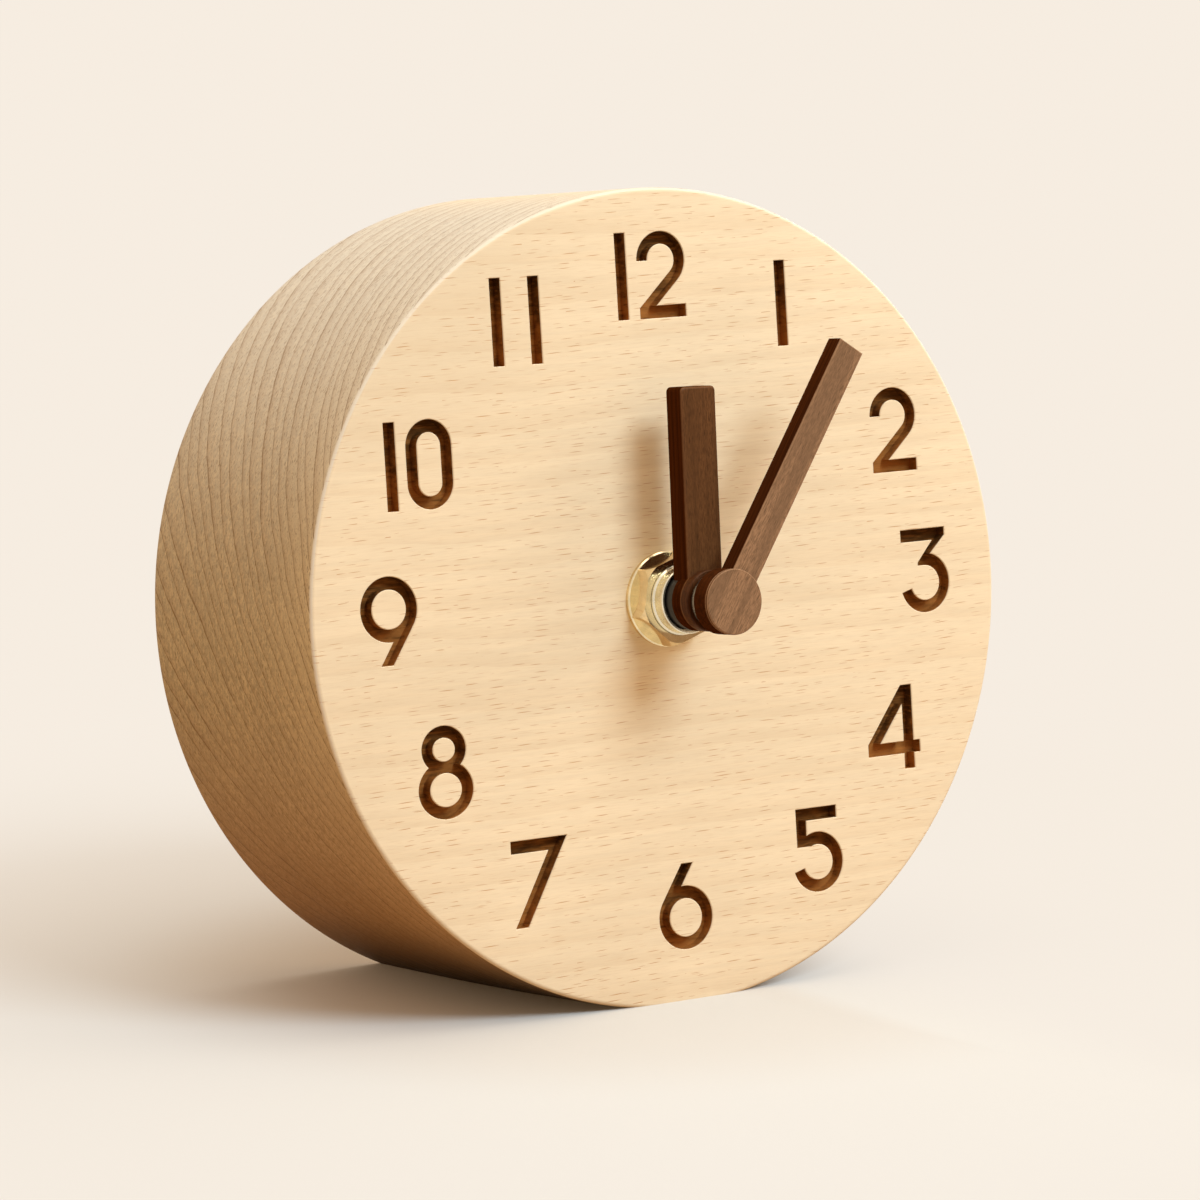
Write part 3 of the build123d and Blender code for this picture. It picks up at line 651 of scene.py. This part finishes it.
def mark_numerals(piece, height):
    """Notes at each point of a numeral its share of the height, 0 at the foot and 1 on top."""
    points = upright_points(piece) / MILLIMETRE
    drawn = height / MILLIMETRE
    share = np.full(len(points), 0.5)
    for _, across, up in DIAL_PLACES:
        level = points[:, 2] - axis_height / MILLIMETRE - up
        near = (np.abs(points[:, 0] - across) < 0.45 * drawn) & (np.abs(level) < 0.55 * drawn)
        share[near] = level[near] / drawn + 0.5
    # The share drives painted shade in the cuts: darker towards each numeral's top.
    piece.data.attributes.new("numeral_share", "FLOAT", "POINT").data.foreach_set("value", share)


def engraved_case(settings):
    """Beech block: swept side, rounded rims, slanted base, cut numerals, rear pocket and bore."""
    dial, back, floor = case_low.y, case_high.y, pocket_floor
    edge, radius = settings.edge, settings.radius
    shell = Shell()
    turn = np.linspace(0, math.pi / 2, RIM_STEPS)
    radii = radius - edge + edge * np.sin(turn)
    depths = edge - edge * np.cos(turn)
    across = np.linspace(dial + edge, back - edge, SIDE_ROWS + 2)[1:-1]
    reaches = np.concatenate((radii, np.full(SIDE_ROWS, radius), radii[::-1]))
    levels = np.concatenate((dial + depths, across, back - depths[::-1]))
    shell.wall([raised(case_loop(r, y), y) for r, y in zip(reaches, levels)], inward=False)

    rim = case_loop(radius - edge, dial)
    bore = ring((0, 0), settings.bore, 64)
    outer, holes = dial_numerals(settings.numeral_height)
    cuts = outer + holes
    brims = [eased(loop, settings.numeral_ease) for loop in cuts]
    shell.sheet([rim, bore] + brims, dial)
    for cut, brim in zip(cuts, brims):
        shell.wall([raised(brim, dial), raised(cut, dial + settings.numeral_ease),
                    raised(cut, dial + settings.numeral_depth)])
    shell.sheet(cuts, dial + settings.numeral_depth)

    reach = settings.pocket_clearance
    low = (housing_low.x - reach, housing_low.z - reach - axis_height)
    high = (housing_high.x + reach, housing_high.z + reach - axis_height)
    pocket = pocket_loop(low, high, settings.pocket_corner)
    shell.sheet([case_loop(radius - edge, back), pocket], back, front=False)
    shell.wall([raised(pocket, floor), raised(pocket, back)])
    shell.sheet([pocket, bore], floor, front=False)
    shell.wall([raised(bore, dial), raised(bore, floor)])
    piece = shell.piece("beech_case", SHARP_DEGREES)
    mark_numerals(piece, settings.numeral_height)
    return piece


def scattered(f, place, cell, half):
    """Long spots scattered one to a cell: strength in a spot and a chance value for each cell.

    Cell and half sizes are in millimetres; a spot fades with its scaled distance from its middle.
    """
    spot = f.cells(place, tuple(1.0 / size for size in cell))
    middle = f.stretched(spot.out("Position"), cell)
    away = f.node("ShaderNodeVectorMath", {"operation": "SUBTRACT"}, {0: place, 1: middle})
    chance = f.axes(spot.out("Color"))
    reach = f.length(f.stretched(away, tuple(1.0 / size if size else 0.0 for size in half)))
    return 1.0 - (reach / (0.5 + 0.8 * chance[0])).between(0.25, 1.0), chance[1]


def beech_finish(colours, settings):
    """Beech with its fibres across the dial: tilted growth layers, thin on the end grain and broad
    on the dial, rays as short flecks, pores, scorched numerals, and painted light and shade: a
    highlight along the rim, a paler upper side, a browner and darker foot of the side, a darker
    upper left of the dial and darker tops in the numerals' cuts."""
    f = Finish("beech_engraved")
    place = f.place()
    x, y, z = f.axes(place)
    radius = f.length(f.stretched(place, (1, 0, 1)))
    rim = settings.radius / MILLIMETRE
    dial = case_low.y / MILLIMETRE
    side = radius.between(rim - 0.12, rim - 0.03)
    end_grain = side * (abs(x) / rim).between(-0.15, 0.35)

    drift = f.noise(place, (0.012, 0.045, 0.035), 2.0, 0.5)
    waver = f.noise(place, (0.05, 0.30, 0.16), 2.0, 0.5)
    tilt, bow, thickness = 0.545, 0.006, 2.8
    rise = y - tilt * z + 5.0 * drift + 0.8 * waver
    season = f.noise(f.joined(rise), (0.16, 0, 0), 1.0, 0.5)
    layer = (rise + 4.5 * season - bow * y * y) / thickness
    growth = layer.fraction()
    late = growth.between(0.30, 0.98) * (1.0 - growth.between(0.985, 1.0))
    line = growth.between(0.885, 0.955) * (1.0 - growth.between(0.965, 1.0))
    breaks = f.noise(place, (0.1, 0.5, 0.9), 3.0, 0.6)
    line = line * (0.35 + 0.65 * breaks.between(0.30, 0.58))
    third = (3.0 * layer + 0.8 * drift).fraction()
    faint = third.between(0.72, 0.88) * (1.0 - third.between(0.92, 1.0))
    faint = faint * breaks.between(0.45, 0.70)

    cloud = f.noise(place, (0.025, 0.10, 0.075), 3.0, 0.55)
    streak = f.noise(place, (0.06, 0.5, 1.1), 4.0, 0.6)
    fibre = f.noise(place, (0.30, 5.0, 5.0), 3.0, 0.6)
    pore = f.noise(place, (0.5, 4.5, 2.6), 3.0, 0.65)
    sway = f.noise(place, (0.03, 0.02, 0.05), 1.0, 0.5)
    risen = f.joined(x, y, z - 0.02 * x + 1.5 * sway)
    fleck, chance = scattered(f, risen, (4.2, 8.0, 0.92), (1.5, 0, 0.066))
    back = case_high.y / MILLIMETRE
    hollow = y.between(dial + 2.5, dial + 3.0) * (1.0 - y.between(back - 0.4, back - 0.2))
    fleck = fleck * chance.between(0.10, 0.80) * (1.0 - side) * (1.0 - hollow)
    vessel, chance = scattered(f, place, (1.3, 0.62, 1.1), (0, 0.085, 0.34))
    vessel = vessel * chance.between(0.15, 0.75)

    level = z / rim
    lower = -1.0 * z / rim
    face = f.mix(streak.between(0.32, 0.68), tinted(colours.beech, 1.025),
                 tinted(colours.beech, 0.965))
    face = f.mix(0.28 * cloud.between(0.42, 0.70), face, tinted(colours.beech, 0.86))
    # Painted shade: the dial darkens towards its upper left, away from the lamps.
    corner = level.between(0.2, 0.7) * (-1.0 * x / rim).between(0.1, 0.6)
    face = f.mix(0.55 * corner, face, tinted(colours.beech, 0.84))
    face = f.mix(0.10 * late, face, colours.beech_line)
    face = f.mix(0.14 * fibre.between(0.45, 0.72), face, colours.beech_line)
    face = f.mix(0.78 * fleck, face, colours.beech_fleck)

    mottle = f.noise(place, (1.1, 1.8, 1.0), 5.0, 0.75)
    near_dial = 1.0 - y.between(dial, dial + 16.0)
    end = f.mix(mottle.between(0.36, 0.64), tinted(colours.end_grain, 1.20),
                tinted(colours.end_grain, 0.74))
    end = f.mix(0.35 * cloud.between(0.35, 0.7), end, tinted(colours.end_grain, 0.72))
    end = f.mix(0.45 * near_dial, end, tinted(colours.end_grain, 1.38))
    # Painted sheen: the end grain grows paler towards the top, as if lit from above; its growth
    # lines fade there too.
    end = f.mix(0.78 * level.between(-0.2, 0.9), end, colours.painted_sheen)
    # Painted shade: the side grows browner towards the bottom and turns almost black next to the
    # floor, using the fleck and burnt colours.
    end = f.mix(0.70 * lower.between(0.0, 0.9), end, colours.beech_fleck)
    end = f.mix(0.97 * lower.between(0.70, 0.95), end, tinted(colours.burnt, 0.08))
    end = f.mix(0.20 * late + 0.28 * faint, end, tinted(colours.growth_line, 1.1))
    end = f.mix(0.80 * line * (1.0 - 0.4 * level.between(0.2, 0.9)), end,
                tinted(colours.growth_line, 0.8))
    end = f.mix(0.45 * pore.between(0.54, 0.70), end, tinted(colours.growth_line, 0.9))
    end = f.mix(0.75 * vessel, end, tinted(colours.growth_line, 0.75))
    ground = f.mix(end_grain, face, end)
    # Painted highlight: a thin pale line along the front rim, stronger on its upper part.
    edge = radius.between(rim - 0.46, rim - 0.28)
    edge = edge * (1.0 - radius.between(rim - 0.09, rim - 0.02))
    edge = edge * (1.0 - y.between(dial + 2.0, dial + 3.0))
    ground = f.mix(0.55 * edge * level.between(-0.9, 0.3), ground, colours.painted_sheen)

    ease = settings.numeral_ease / MILLIMETRE
    bore = settings.bore / MILLIMETRE
    bottom = dial + settings.numeral_depth / MILLIMETRE
    cut = y.between(dial + ease * 0.6, dial + ease * 3.0)
    cut = cut * (1.0 - y.between(bottom + 1.0, bottom + 1.2))
    cut = cut * radius.between(bore + 4.5, bore + 5.0)
    cut = cut * (1.0 - radius.between(rim - 3.5, rim - 3.0))
    scorch = f.noise(place, (0.22, 0.3, 0.45), 3.0, 0.55)
    grain = f.noise(place, (0.20, 0.6, 2.2), 3.0, 0.6)
    # Painted shade: each cut is darker towards its top and lighter at its foot, mixed with mottled
    # scorch.
    share = f.node("ShaderNodeAttribute", {"attribute_name": "numeral_share"}).out("Fac")
    scorch_and_shade = 0.7 * share + 1.7 * scorch - 0.70
    char = f.mix(scorch_and_shade.between(0.0, 1.0), tinted(colours.burnt, 1.5), tinted(colours.burnt, 0.35))
    char = f.mix(0.45 * grain.between(0.48, 0.70), char, tinted(colours.burnt, 1.9))
    char = f.mix(0.55 * (1.0 - grain.between(0.30, 0.46)), char, tinted(colours.burnt, 0.2))
    colour = f.mix(cut, ground, char)

    relief = 0.5 * streak - 0.5 * fleck + end_grain * (0.8 * mottle - 0.8 * line)
    return f.surface(base_color=colour, roughness=0.46 + 0.16 * streak + 0.18 * cut,
                     specular_ior_level=0.06, normal=f.bump(relief, 0.00006, 0.5))


def walnut_finish(name, colour, painted_side_shade, lean, front):
    """Walnut with its grain along a hand that leans clockwise: streaks, fibres, open pores, a
    painted highlight on the front edges, and painted shade on the sides behind the bar's front
    plane and on a boss before it."""
    f = Finish(name)
    place = f.place(turn=-lean)
    depth = f.axes(place)[1] - front / MILLIMETRE
    broad = f.noise(place, (0.5, 0.5, 0.02), 2.0, 0.5)
    streak = f.noise(place, (2.2, 2.2, 0.05), 3.0, 0.6)
    fibre = f.noise(place, (8.0, 8.0, 0.30), 3.0, 0.65)
    cell = f.cells(place, (3.4, 3.4, 0.42))
    chosen = f.axes(cell.out("Color"))[0].between(0.45, 0.7)
    pore = (1.0 - cell.out("Distance").between(0.10, 0.28)) * chosen
    dash = f.noise(place, (5.0, 5.0, 0.9), 4.0, 0.7)
    ground = f.mix(streak.between(0.30, 0.70), tinted(colour, 0.78), tinted(colour, 1.18))
    ground = f.mix(dash.between(0.36, 0.64), tinted(colour, 0.66),
                   f.mix(0.7, ground, tinted(colour, 1.40)))
    ground = f.mix(0.40 * fibre.between(0.42, 0.72), ground, tinted(colour, 1.65))
    ground = f.mix(0.55 * broad.between(0.42, 0.66), ground, tinted(colour, 0.60))
    ground = f.mix(0.70 * pore, ground, tinted(colour, 0.30))
    flank = depth.between(0.12, 0.38)
    # Painted highlight: a thin paler band where the front of the hand meets its sides.
    painted_edge_highlight = depth.between(0.01, 0.06) * (1.0 - flank)
    ground = f.mix(0.20 * painted_edge_highlight, ground, tinted(colour, 2.2))
    # Painted shade: sides behind the bar's front plane and a boss before it are darkened.
    dark = f.mix(streak.between(0.35, 0.65), tinted(painted_side_shade, 0.7), tinted(painted_side_shade, 1.3))
    proud = 1.0 - depth.between(-0.10, -0.02)
    ground = f.mix(0.97 * flank + 0.65 * proud, ground, dark)
    relief = 0.5 * fibre - 0.9 * pore
    return f.surface(base_color=ground, roughness=0.38 + 0.20 * fibre, specular_ior_level=0.0,
                     coat_weight=0.22 * (1.0 - flank), coat_roughness=0.3,
                     normal=f.bump(relief, 0.00005, 0.4))


def metal_finish(name, colour, roughness):
    """Turned metal: fine rings about the clock's axis, faint cloud and handling marks."""
    f = Finish(name)
    place = f.place()
    radius = f.length(f.stretched(place, (1, 0, 1)))
    turned = f.joined(radius, f.axes(place)[1])
    ridge = f.noise(turned, (16.0, 16.0, 1.0), 3.0, 0.6)
    cloud = f.noise(place, (0.5,) * 3, 4.0, 0.6)
    mark = f.noise(place, (3.0, 0.8, 2.0), 3.0, 0.7)
    ground = f.mix(cloud.between(0.35, 0.70), tinted(colour, 0.90), tinted(colour, 1.06))
    rough = roughness + 0.10 * ridge + 0.08 * mark.between(0.5, 0.8)
    return f.surface(base_color=ground, metallic=1.0, roughness=rough,
                     normal=f.bump(ridge, 0.000004, 0.35))


def moulded_finish(name, colour, roughness, grain=1.0):
    """Moulded plastic or rubber: fine spark texture, soft mottle and a little dust."""
    f = Finish(name)
    place = f.place()
    spark = f.noise(place, (7.0 * grain,) * 3, 2.0, 0.5)
    mottle = f.noise(place, (0.15,) * 3, 3.0, 0.5)
    ground = f.mix(mottle.between(0.35, 0.70), tinted(colour, 0.88), tinted(colour, 1.10))
    ground = f.mix(0.12 * spark.between(0.55, 0.75), ground, tinted(colour, 1.6))
    return f.surface(base_color=ground, roughness=roughness + 0.14 * spark,
                     specular_ior_level=0.4, normal=f.bump(spark, 0.00002, 0.35))


def far_points(name, share):
    """Points of a node about the axis that lie beyond a share of its widest radius."""
    points = upright_points(nodes[name]) - (0, 0, axis_height)
    reach = np.hypot(points[:, 0], points[:, 2])
    return points[reach > share * reach.max()]


def bar_front(name):
    """Front plane of a hand's bar at its tip, or of a disc at its rim."""
    return far_points(name, 0.9)[:, 1].min()


def hand_lean(name):
    """Clockwise angle of a hand from upright, towards its tip."""
    tip = far_points(name, 0.97).mean(axis=0)
    return math.atan2(tip[0], tip[2])


def dress(name, material):
    """Gives a solid node one material."""
    slots = nodes[name].data.materials
    slots.clear()
    slots.append(material)


class CLOCK_OT_case(bpy.types.Operator):
    """Make the beech case with its cut numerals, pocket and bore"""

    bl_idname = "clock.case"
    bl_label = "Beech case"

    def execute(self, context):
        scene = context.scene
        piece = engraved_case(scene.clock_case)
        piece.data.materials.append(beech_finish(scene.clock_colours, scene.clock_case))
        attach(piece, "case")
        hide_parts("case_block")
        return {"FINISHED"}


class CLOCK_OT_hands(bpy.types.Operator):
    """Finish the walnut hands, their cap and the collars between them"""

    bl_idname = "clock.hands"
    bl_label = "Hands"

    def execute(self, context):
        colours = context.scene.clock_colours
        pieces = {"hour_hand": ("hour_hand", colours.hour_walnut),
                  "minute_hand": ("minute_hand", colours.minute_walnut),
                  "hand_cap": ("minute_hand", colours.minute_walnut)}
        for name, (hand, colour) in pieces.items():
            dress(name, walnut_finish("walnut_" + name, colour, colours.painted_side_shade,
                                      hand_lean(hand), bar_front(name)))
        dress("hour_collar", moulded_finish("black_collar", (0.012, 0.010, 0.009), 0.35))
        dress("minute_collar", metal_finish("gunmetal", (0.30, 0.29, 0.27), 0.2))
        dress("minute_arbor", metal_finish("bright_steel", (0.60, 0.60, 0.61), 0.25))
        return {"FINISHED"}


class CLOCK_OT_fixing(bpy.types.Operator):
    """Finish the brass washer, nut and bushing and the seal behind the dial"""

    bl_idname = "clock.fixing"
    bl_label = "Brass fixing"

    def execute(self, context):
        colours = context.scene.clock_colours
        brass = metal_finish("polished_brass", colours.brass, 0.11)
        for name in ("dial_washer", "hex_nut"):
            dress(name, brass)
        dress("threaded_bushing", metal_finish("satin_brass", colours.bushing, 0.20))
        dress("sealing_washer", moulded_finish("seal_rubber", (0.02, 0.02, 0.02), 0.65))
        return {"FINISHED"}


class CLOCK_OT_movement(bpy.types.Operator):
    """Finish the movement behind the dial: shell, train, motor, circuit and cell"""

    bl_idname = "clock.movement"
    bl_label = "Movement"

    def execute(self, context):
        black = moulded_finish("black_shell", (0.022, 0.022, 0.023), 0.42)
        white = moulded_finish("white_acetal", (0.74, 0.73, 0.69), 0.38)
        iron = metal_finish("soft_iron", (0.38, 0.38, 0.39), 0.35)
        nickel = metal_finish("nickel", (0.68, 0.66, 0.62), 0.25)
        finishes = {
            "movement_housing": black, "movement_cover": black, "train_bridge": black,
            "setting_knob": moulded_finish("black_knob", (0.03, 0.03, 0.031), 0.36),
            "hour_wheel": white, "minute_wheel": white, "centre_wheel": white, "third_wheel": white,
            "second_wheel": white, "intermediate_wheel": white, "coil_bobbin": white,
            "rotor": iron, "stator_plate": iron, "coil_core": iron,
            "positive_contact": nickel, "negative_contact": nickel,
            "coil_winding": metal_finish("copper_wire", (0.72, 0.33, 0.17), 0.3),
            "battery_cell": moulded_finish("cell_wrap", (0.20, 0.21, 0.22), 0.30, 0.4),
            "circuit_board": moulded_finish("board_laminate", (0.30, 0.20, 0.08), 0.45),
            "controller_chip": moulded_finish("chip_resin", (0.015, 0.015, 0.015), 0.40),
            "quartz_crystal": metal_finish("crystal_can", (0.70, 0.71, 0.73), 0.25),
        }
        for name, material in finishes.items():
            dress(name, material)
        return {"FINISHED"}


# Floor, lamps and card, in metres: each lamp stands off the dial's centre.
FLOOR_RADIUS = 4.0
KEY_OFFSET, KEY_SIZE = Vector((0.31, -0.91, 0.93)), 0.62
RIGHT_OFFSET, RIGHT_SIZE = Vector((1.1, -0.40, 0.46)), 0.8
TOP_OFFSET, TOP_SIZE = Vector((0.05, 0.03, 1.30)), 1.2
CARD_PLACE, CARD_SIZE = Vector((0.55, -0.84, 0.11)), 0.42
CARD_COLOURS = (0.38, 0.27, 0.15), (0.44, 0.32, 0.18)


def floor_surface(radius, rings=24, spokes=96):
    """Flat round floor: rings about the middle, each a circle of the same count of points."""
    angle = np.linspace(0, 2 * math.pi, spokes, endpoint=False)
    reach = radius * np.linspace(0.02, 1.0, rings)[:, None] ** 2
    points = np.stack((reach * np.cos(angle), reach * np.sin(angle), np.zeros((rings, spokes))), -1)
    grid = np.arange(rings * spokes).reshape(rings, spokes)
    near, far = grid[:-1], grid[1:]
    quads = np.stack((near, far, np.roll(far, -1, 1), np.roll(near, -1, 1)), -1).reshape(-1, 4)
    return points.reshape(-1, 3), quads.tolist() + [grid[0].tolist()]


def floor_finish(settings):
    """Matt paper that keeps the clock's shadow near by, lightened there by painted light and with a
    painted warm contact shadow close to the wood, and farther off fades into the backdrop.
    """
    f = Finish("paper_floor")
    place = f.on_floor()
    fibre = f.noise(place, (1.2,) * 3, 3.0, 0.6)
    paper = f.mix(fibre.between(0.3, 0.8), tinted(settings.floor, 0.995),
                  tinted(settings.floor, 1.005))
    f.surface(base_color=paper, roughness=0.95, specular_ior_level=0.1)
    # Painted light: even close to the clock some of the backdrop's glow is mixed in, which lightens
    # the shadows; right of the base most of the shadow is replaced by it.
    far = f.length(f.stretched(place, (1, 1, 0))).between(-15.0, 230.0)
    painted_light_right = 0.85 * f.axes(place)[0].between(0.0, 45.0)
    far = far.with_math("MAXIMUM", far, painted_light_right)
    glow = f.node("ShaderNodeEmission", None, {"Color": (*settings.backdrop, 1.0)})
    dim = f.node("ShaderNodeBsdfDiffuse", None, {"Color": (*settings.bounce, 1.0)})
    # Painted contact shadow: close to the wood the glow turns warm brown.
    painted_contact_shade = f.node("ShaderNodeEmission", None, {"Color": (*settings.contact, 1.0)})
    glow = f.shaded(far.between(0.04, 0.34), painted_contact_shade, glow)
    pale = f.shaded(far, Value(f, f.shader, f.shader.outputs[0]), glow)
    return f.ends_in(f.shaded(f.seen(), dim, pale))


def area_light(name, place, aim, size, power, colour):
    """Large soft lamp at a place, aimed at a point."""
    lamp = bpy.data.lights.new(name, "AREA")
    lamp.shape = "DISK"
    lamp.size = size
    lamp.energy = power
    lamp.color = colour
    item = bpy.data.objects.new(name, lamp)
    bpy.context.scene.collection.objects.link(item)
    turn = (aim - place).to_track_quat("-Z", "Y").to_matrix().to_4x4()
    item.matrix_world = Matrix.Translation(place) @ turn


def grey_card(place, aim, size):
    """Dull card out of the camera's sight, seen only as a dark patch in the polished brass."""
    f = Finish("grey_card")
    weave = f.noise(f.on_floor(), (0.2,) * 3, 2.0, 0.5)
    f.surface(base_color=f.mix(weave, *CARD_COLOURS), roughness=0.9)
    corners = np.array([(-1, -1, 0), (1, -1, 0), (1, 1, 0), (-1, 1, 0)]) * size / 2
    turn = np.array((aim - place).to_track_quat("Z", "Y").to_matrix())
    mesh = bpy.data.meshes.new("grey_card")
    mesh.from_pydata((corners @ turn.T + np.array(place)).tolist(), [], [(0, 1, 2, 3)])
    mesh.materials.append(f.material)
    card = bpy.data.objects.new("grey_card", mesh)
    bpy.context.scene.collection.objects.link(card)
    card.visible_camera = False
    card.visible_diffuse = False
    card.visible_shadow = False


def photo_camera(settings):
    """Level camera at an azimuth and elevation about the dial's centre, with a small aim."""
    turn, rise = settings.azimuth, settings.elevation
    level = math.cos(rise)
    out = Vector((math.sin(turn) * level, -math.cos(turn) * level, math.sin(rise)))
    forward = -out
    right = forward.cross(Vector((0, 0, 1))).normalized()
    up = right.cross(forward)
    view = (forward + settings.aim_right * right + settings.aim_up * up).normalized()
    right = (right - right.dot(view) * view).normalized()
    up = right.cross(view)
    data = bpy.data.cameras.new("photo_camera")
    data.sensor_width = 36.0
    data.lens = settings.lens
    item = bpy.data.objects.new("photo_camera", data)
    bpy.context.scene.collection.objects.link(item)
    basis = Matrix((right, up, -view)).transposed().to_4x4()
    item.matrix_world = Matrix.Translation(dial_centre + settings.distance * out) @ basis
    bpy.context.scene.camera = item


def pale_world(settings):
    """World that lights softly and shows the backdrop's colour to the camera and to mirrors."""
    f = Finish("soft_room", world=True)
    light = f.node("ShaderNodeBackground", None, {
        "Color": (*settings.room, 1.0), "Strength": settings.room_level})
    plain = f.node("ShaderNodeBackground", None, {"Color": (*settings.backdrop, 1.0)})
    bpy.context.scene.world = f.ends_in(f.shaded(f.seen(), light, plain))


class CLOCK_OT_stage(bpy.types.Operator):
    """Make the paper floor, the soft light and the camera"""

    bl_idname = "clock.stage"
    bl_label = "Stage"

    def execute(self, context):
        settings = context.scene.clock_stage
        points, faces = floor_surface(FLOOR_RADIUS)
        mesh = bpy.data.meshes.new("paper_floor")
        mesh.from_pydata(points.tolist(), [], faces)
        mesh.materials.append(floor_finish(settings))
        floor = bpy.data.objects.new("paper_floor", mesh)
        context.scene.collection.objects.link(floor)
        area_light("key_light", dial_centre + KEY_OFFSET, dial_centre, KEY_SIZE,
                   settings.key_power, settings.key_colour)
        area_light("right_light", dial_centre + RIGHT_OFFSET, dial_centre, RIGHT_SIZE,
                   settings.right_power, settings.fill_colour)
        area_light("top_light", dial_centre + TOP_OFFSET, dial_centre, TOP_SIZE,
                   settings.top_power, settings.fill_colour)
        grey_card(CARD_PLACE, dial_centre, CARD_SIZE)
        pale_world(settings)
        photo_camera(settings)
        context.scene.view_settings.view_transform = "Standard"
        return {"FINISHED"}


class CLOCK_PT_panel(bpy.types.Panel):
    """Shows the clock's settings and the buttons that make its pieces"""

    bl_idname = "CLOCK_PT_panel"
    bl_label = "Beech Table Clock"
    bl_space_type = "VIEW_3D"
    bl_region_type = "UI"
    bl_category = "Clock"

    def draw(self, context):
        for group in ("clock_case", "clock_colours", "clock_stage"):
            box = self.layout.box()
            settings = getattr(context.scene, group)
            for name in settings.__annotations__:
                box.prop(settings, name)
        for operator in OPERATORS:
            self.layout.operator(operator.bl_idname)


SETTINGS = {"clock_case": ClockCaseSettings, "clock_colours": ClockColourSettings,
            "clock_stage": ClockStageSettings}
OPERATORS = (CLOCK_OT_case, CLOCK_OT_hands, CLOCK_OT_fixing, CLOCK_OT_movement, CLOCK_OT_stage)


def register():
    """Registers the settings, the operators and the panel."""
    for name, group in SETTINGS.items():
        bpy.utils.register_class(group)
        setattr(bpy.types.Scene, name, bpy.props.PointerProperty(type=group))
    for item in (*OPERATORS, CLOCK_PT_panel):
        bpy.utils.register_class(item)


def unregister():
    """Takes the panel, the operators and the settings away again."""
    for item in reversed((*OPERATORS, CLOCK_PT_panel)):
        bpy.utils.unregister_class(item)
    for name, group in SETTINGS.items():
        delattr(bpy.types.Scene, name)
        bpy.utils.unregister_class(group)


def main():
    """Makes the whole clock."""
    register()
    bpy.ops.clock.case()
    bpy.ops.clock.hands()
    bpy.ops.clock.fixing()
    bpy.ops.clock.movement()
    bpy.ops.clock.stage()


if __name__ == "__main__":
    main()
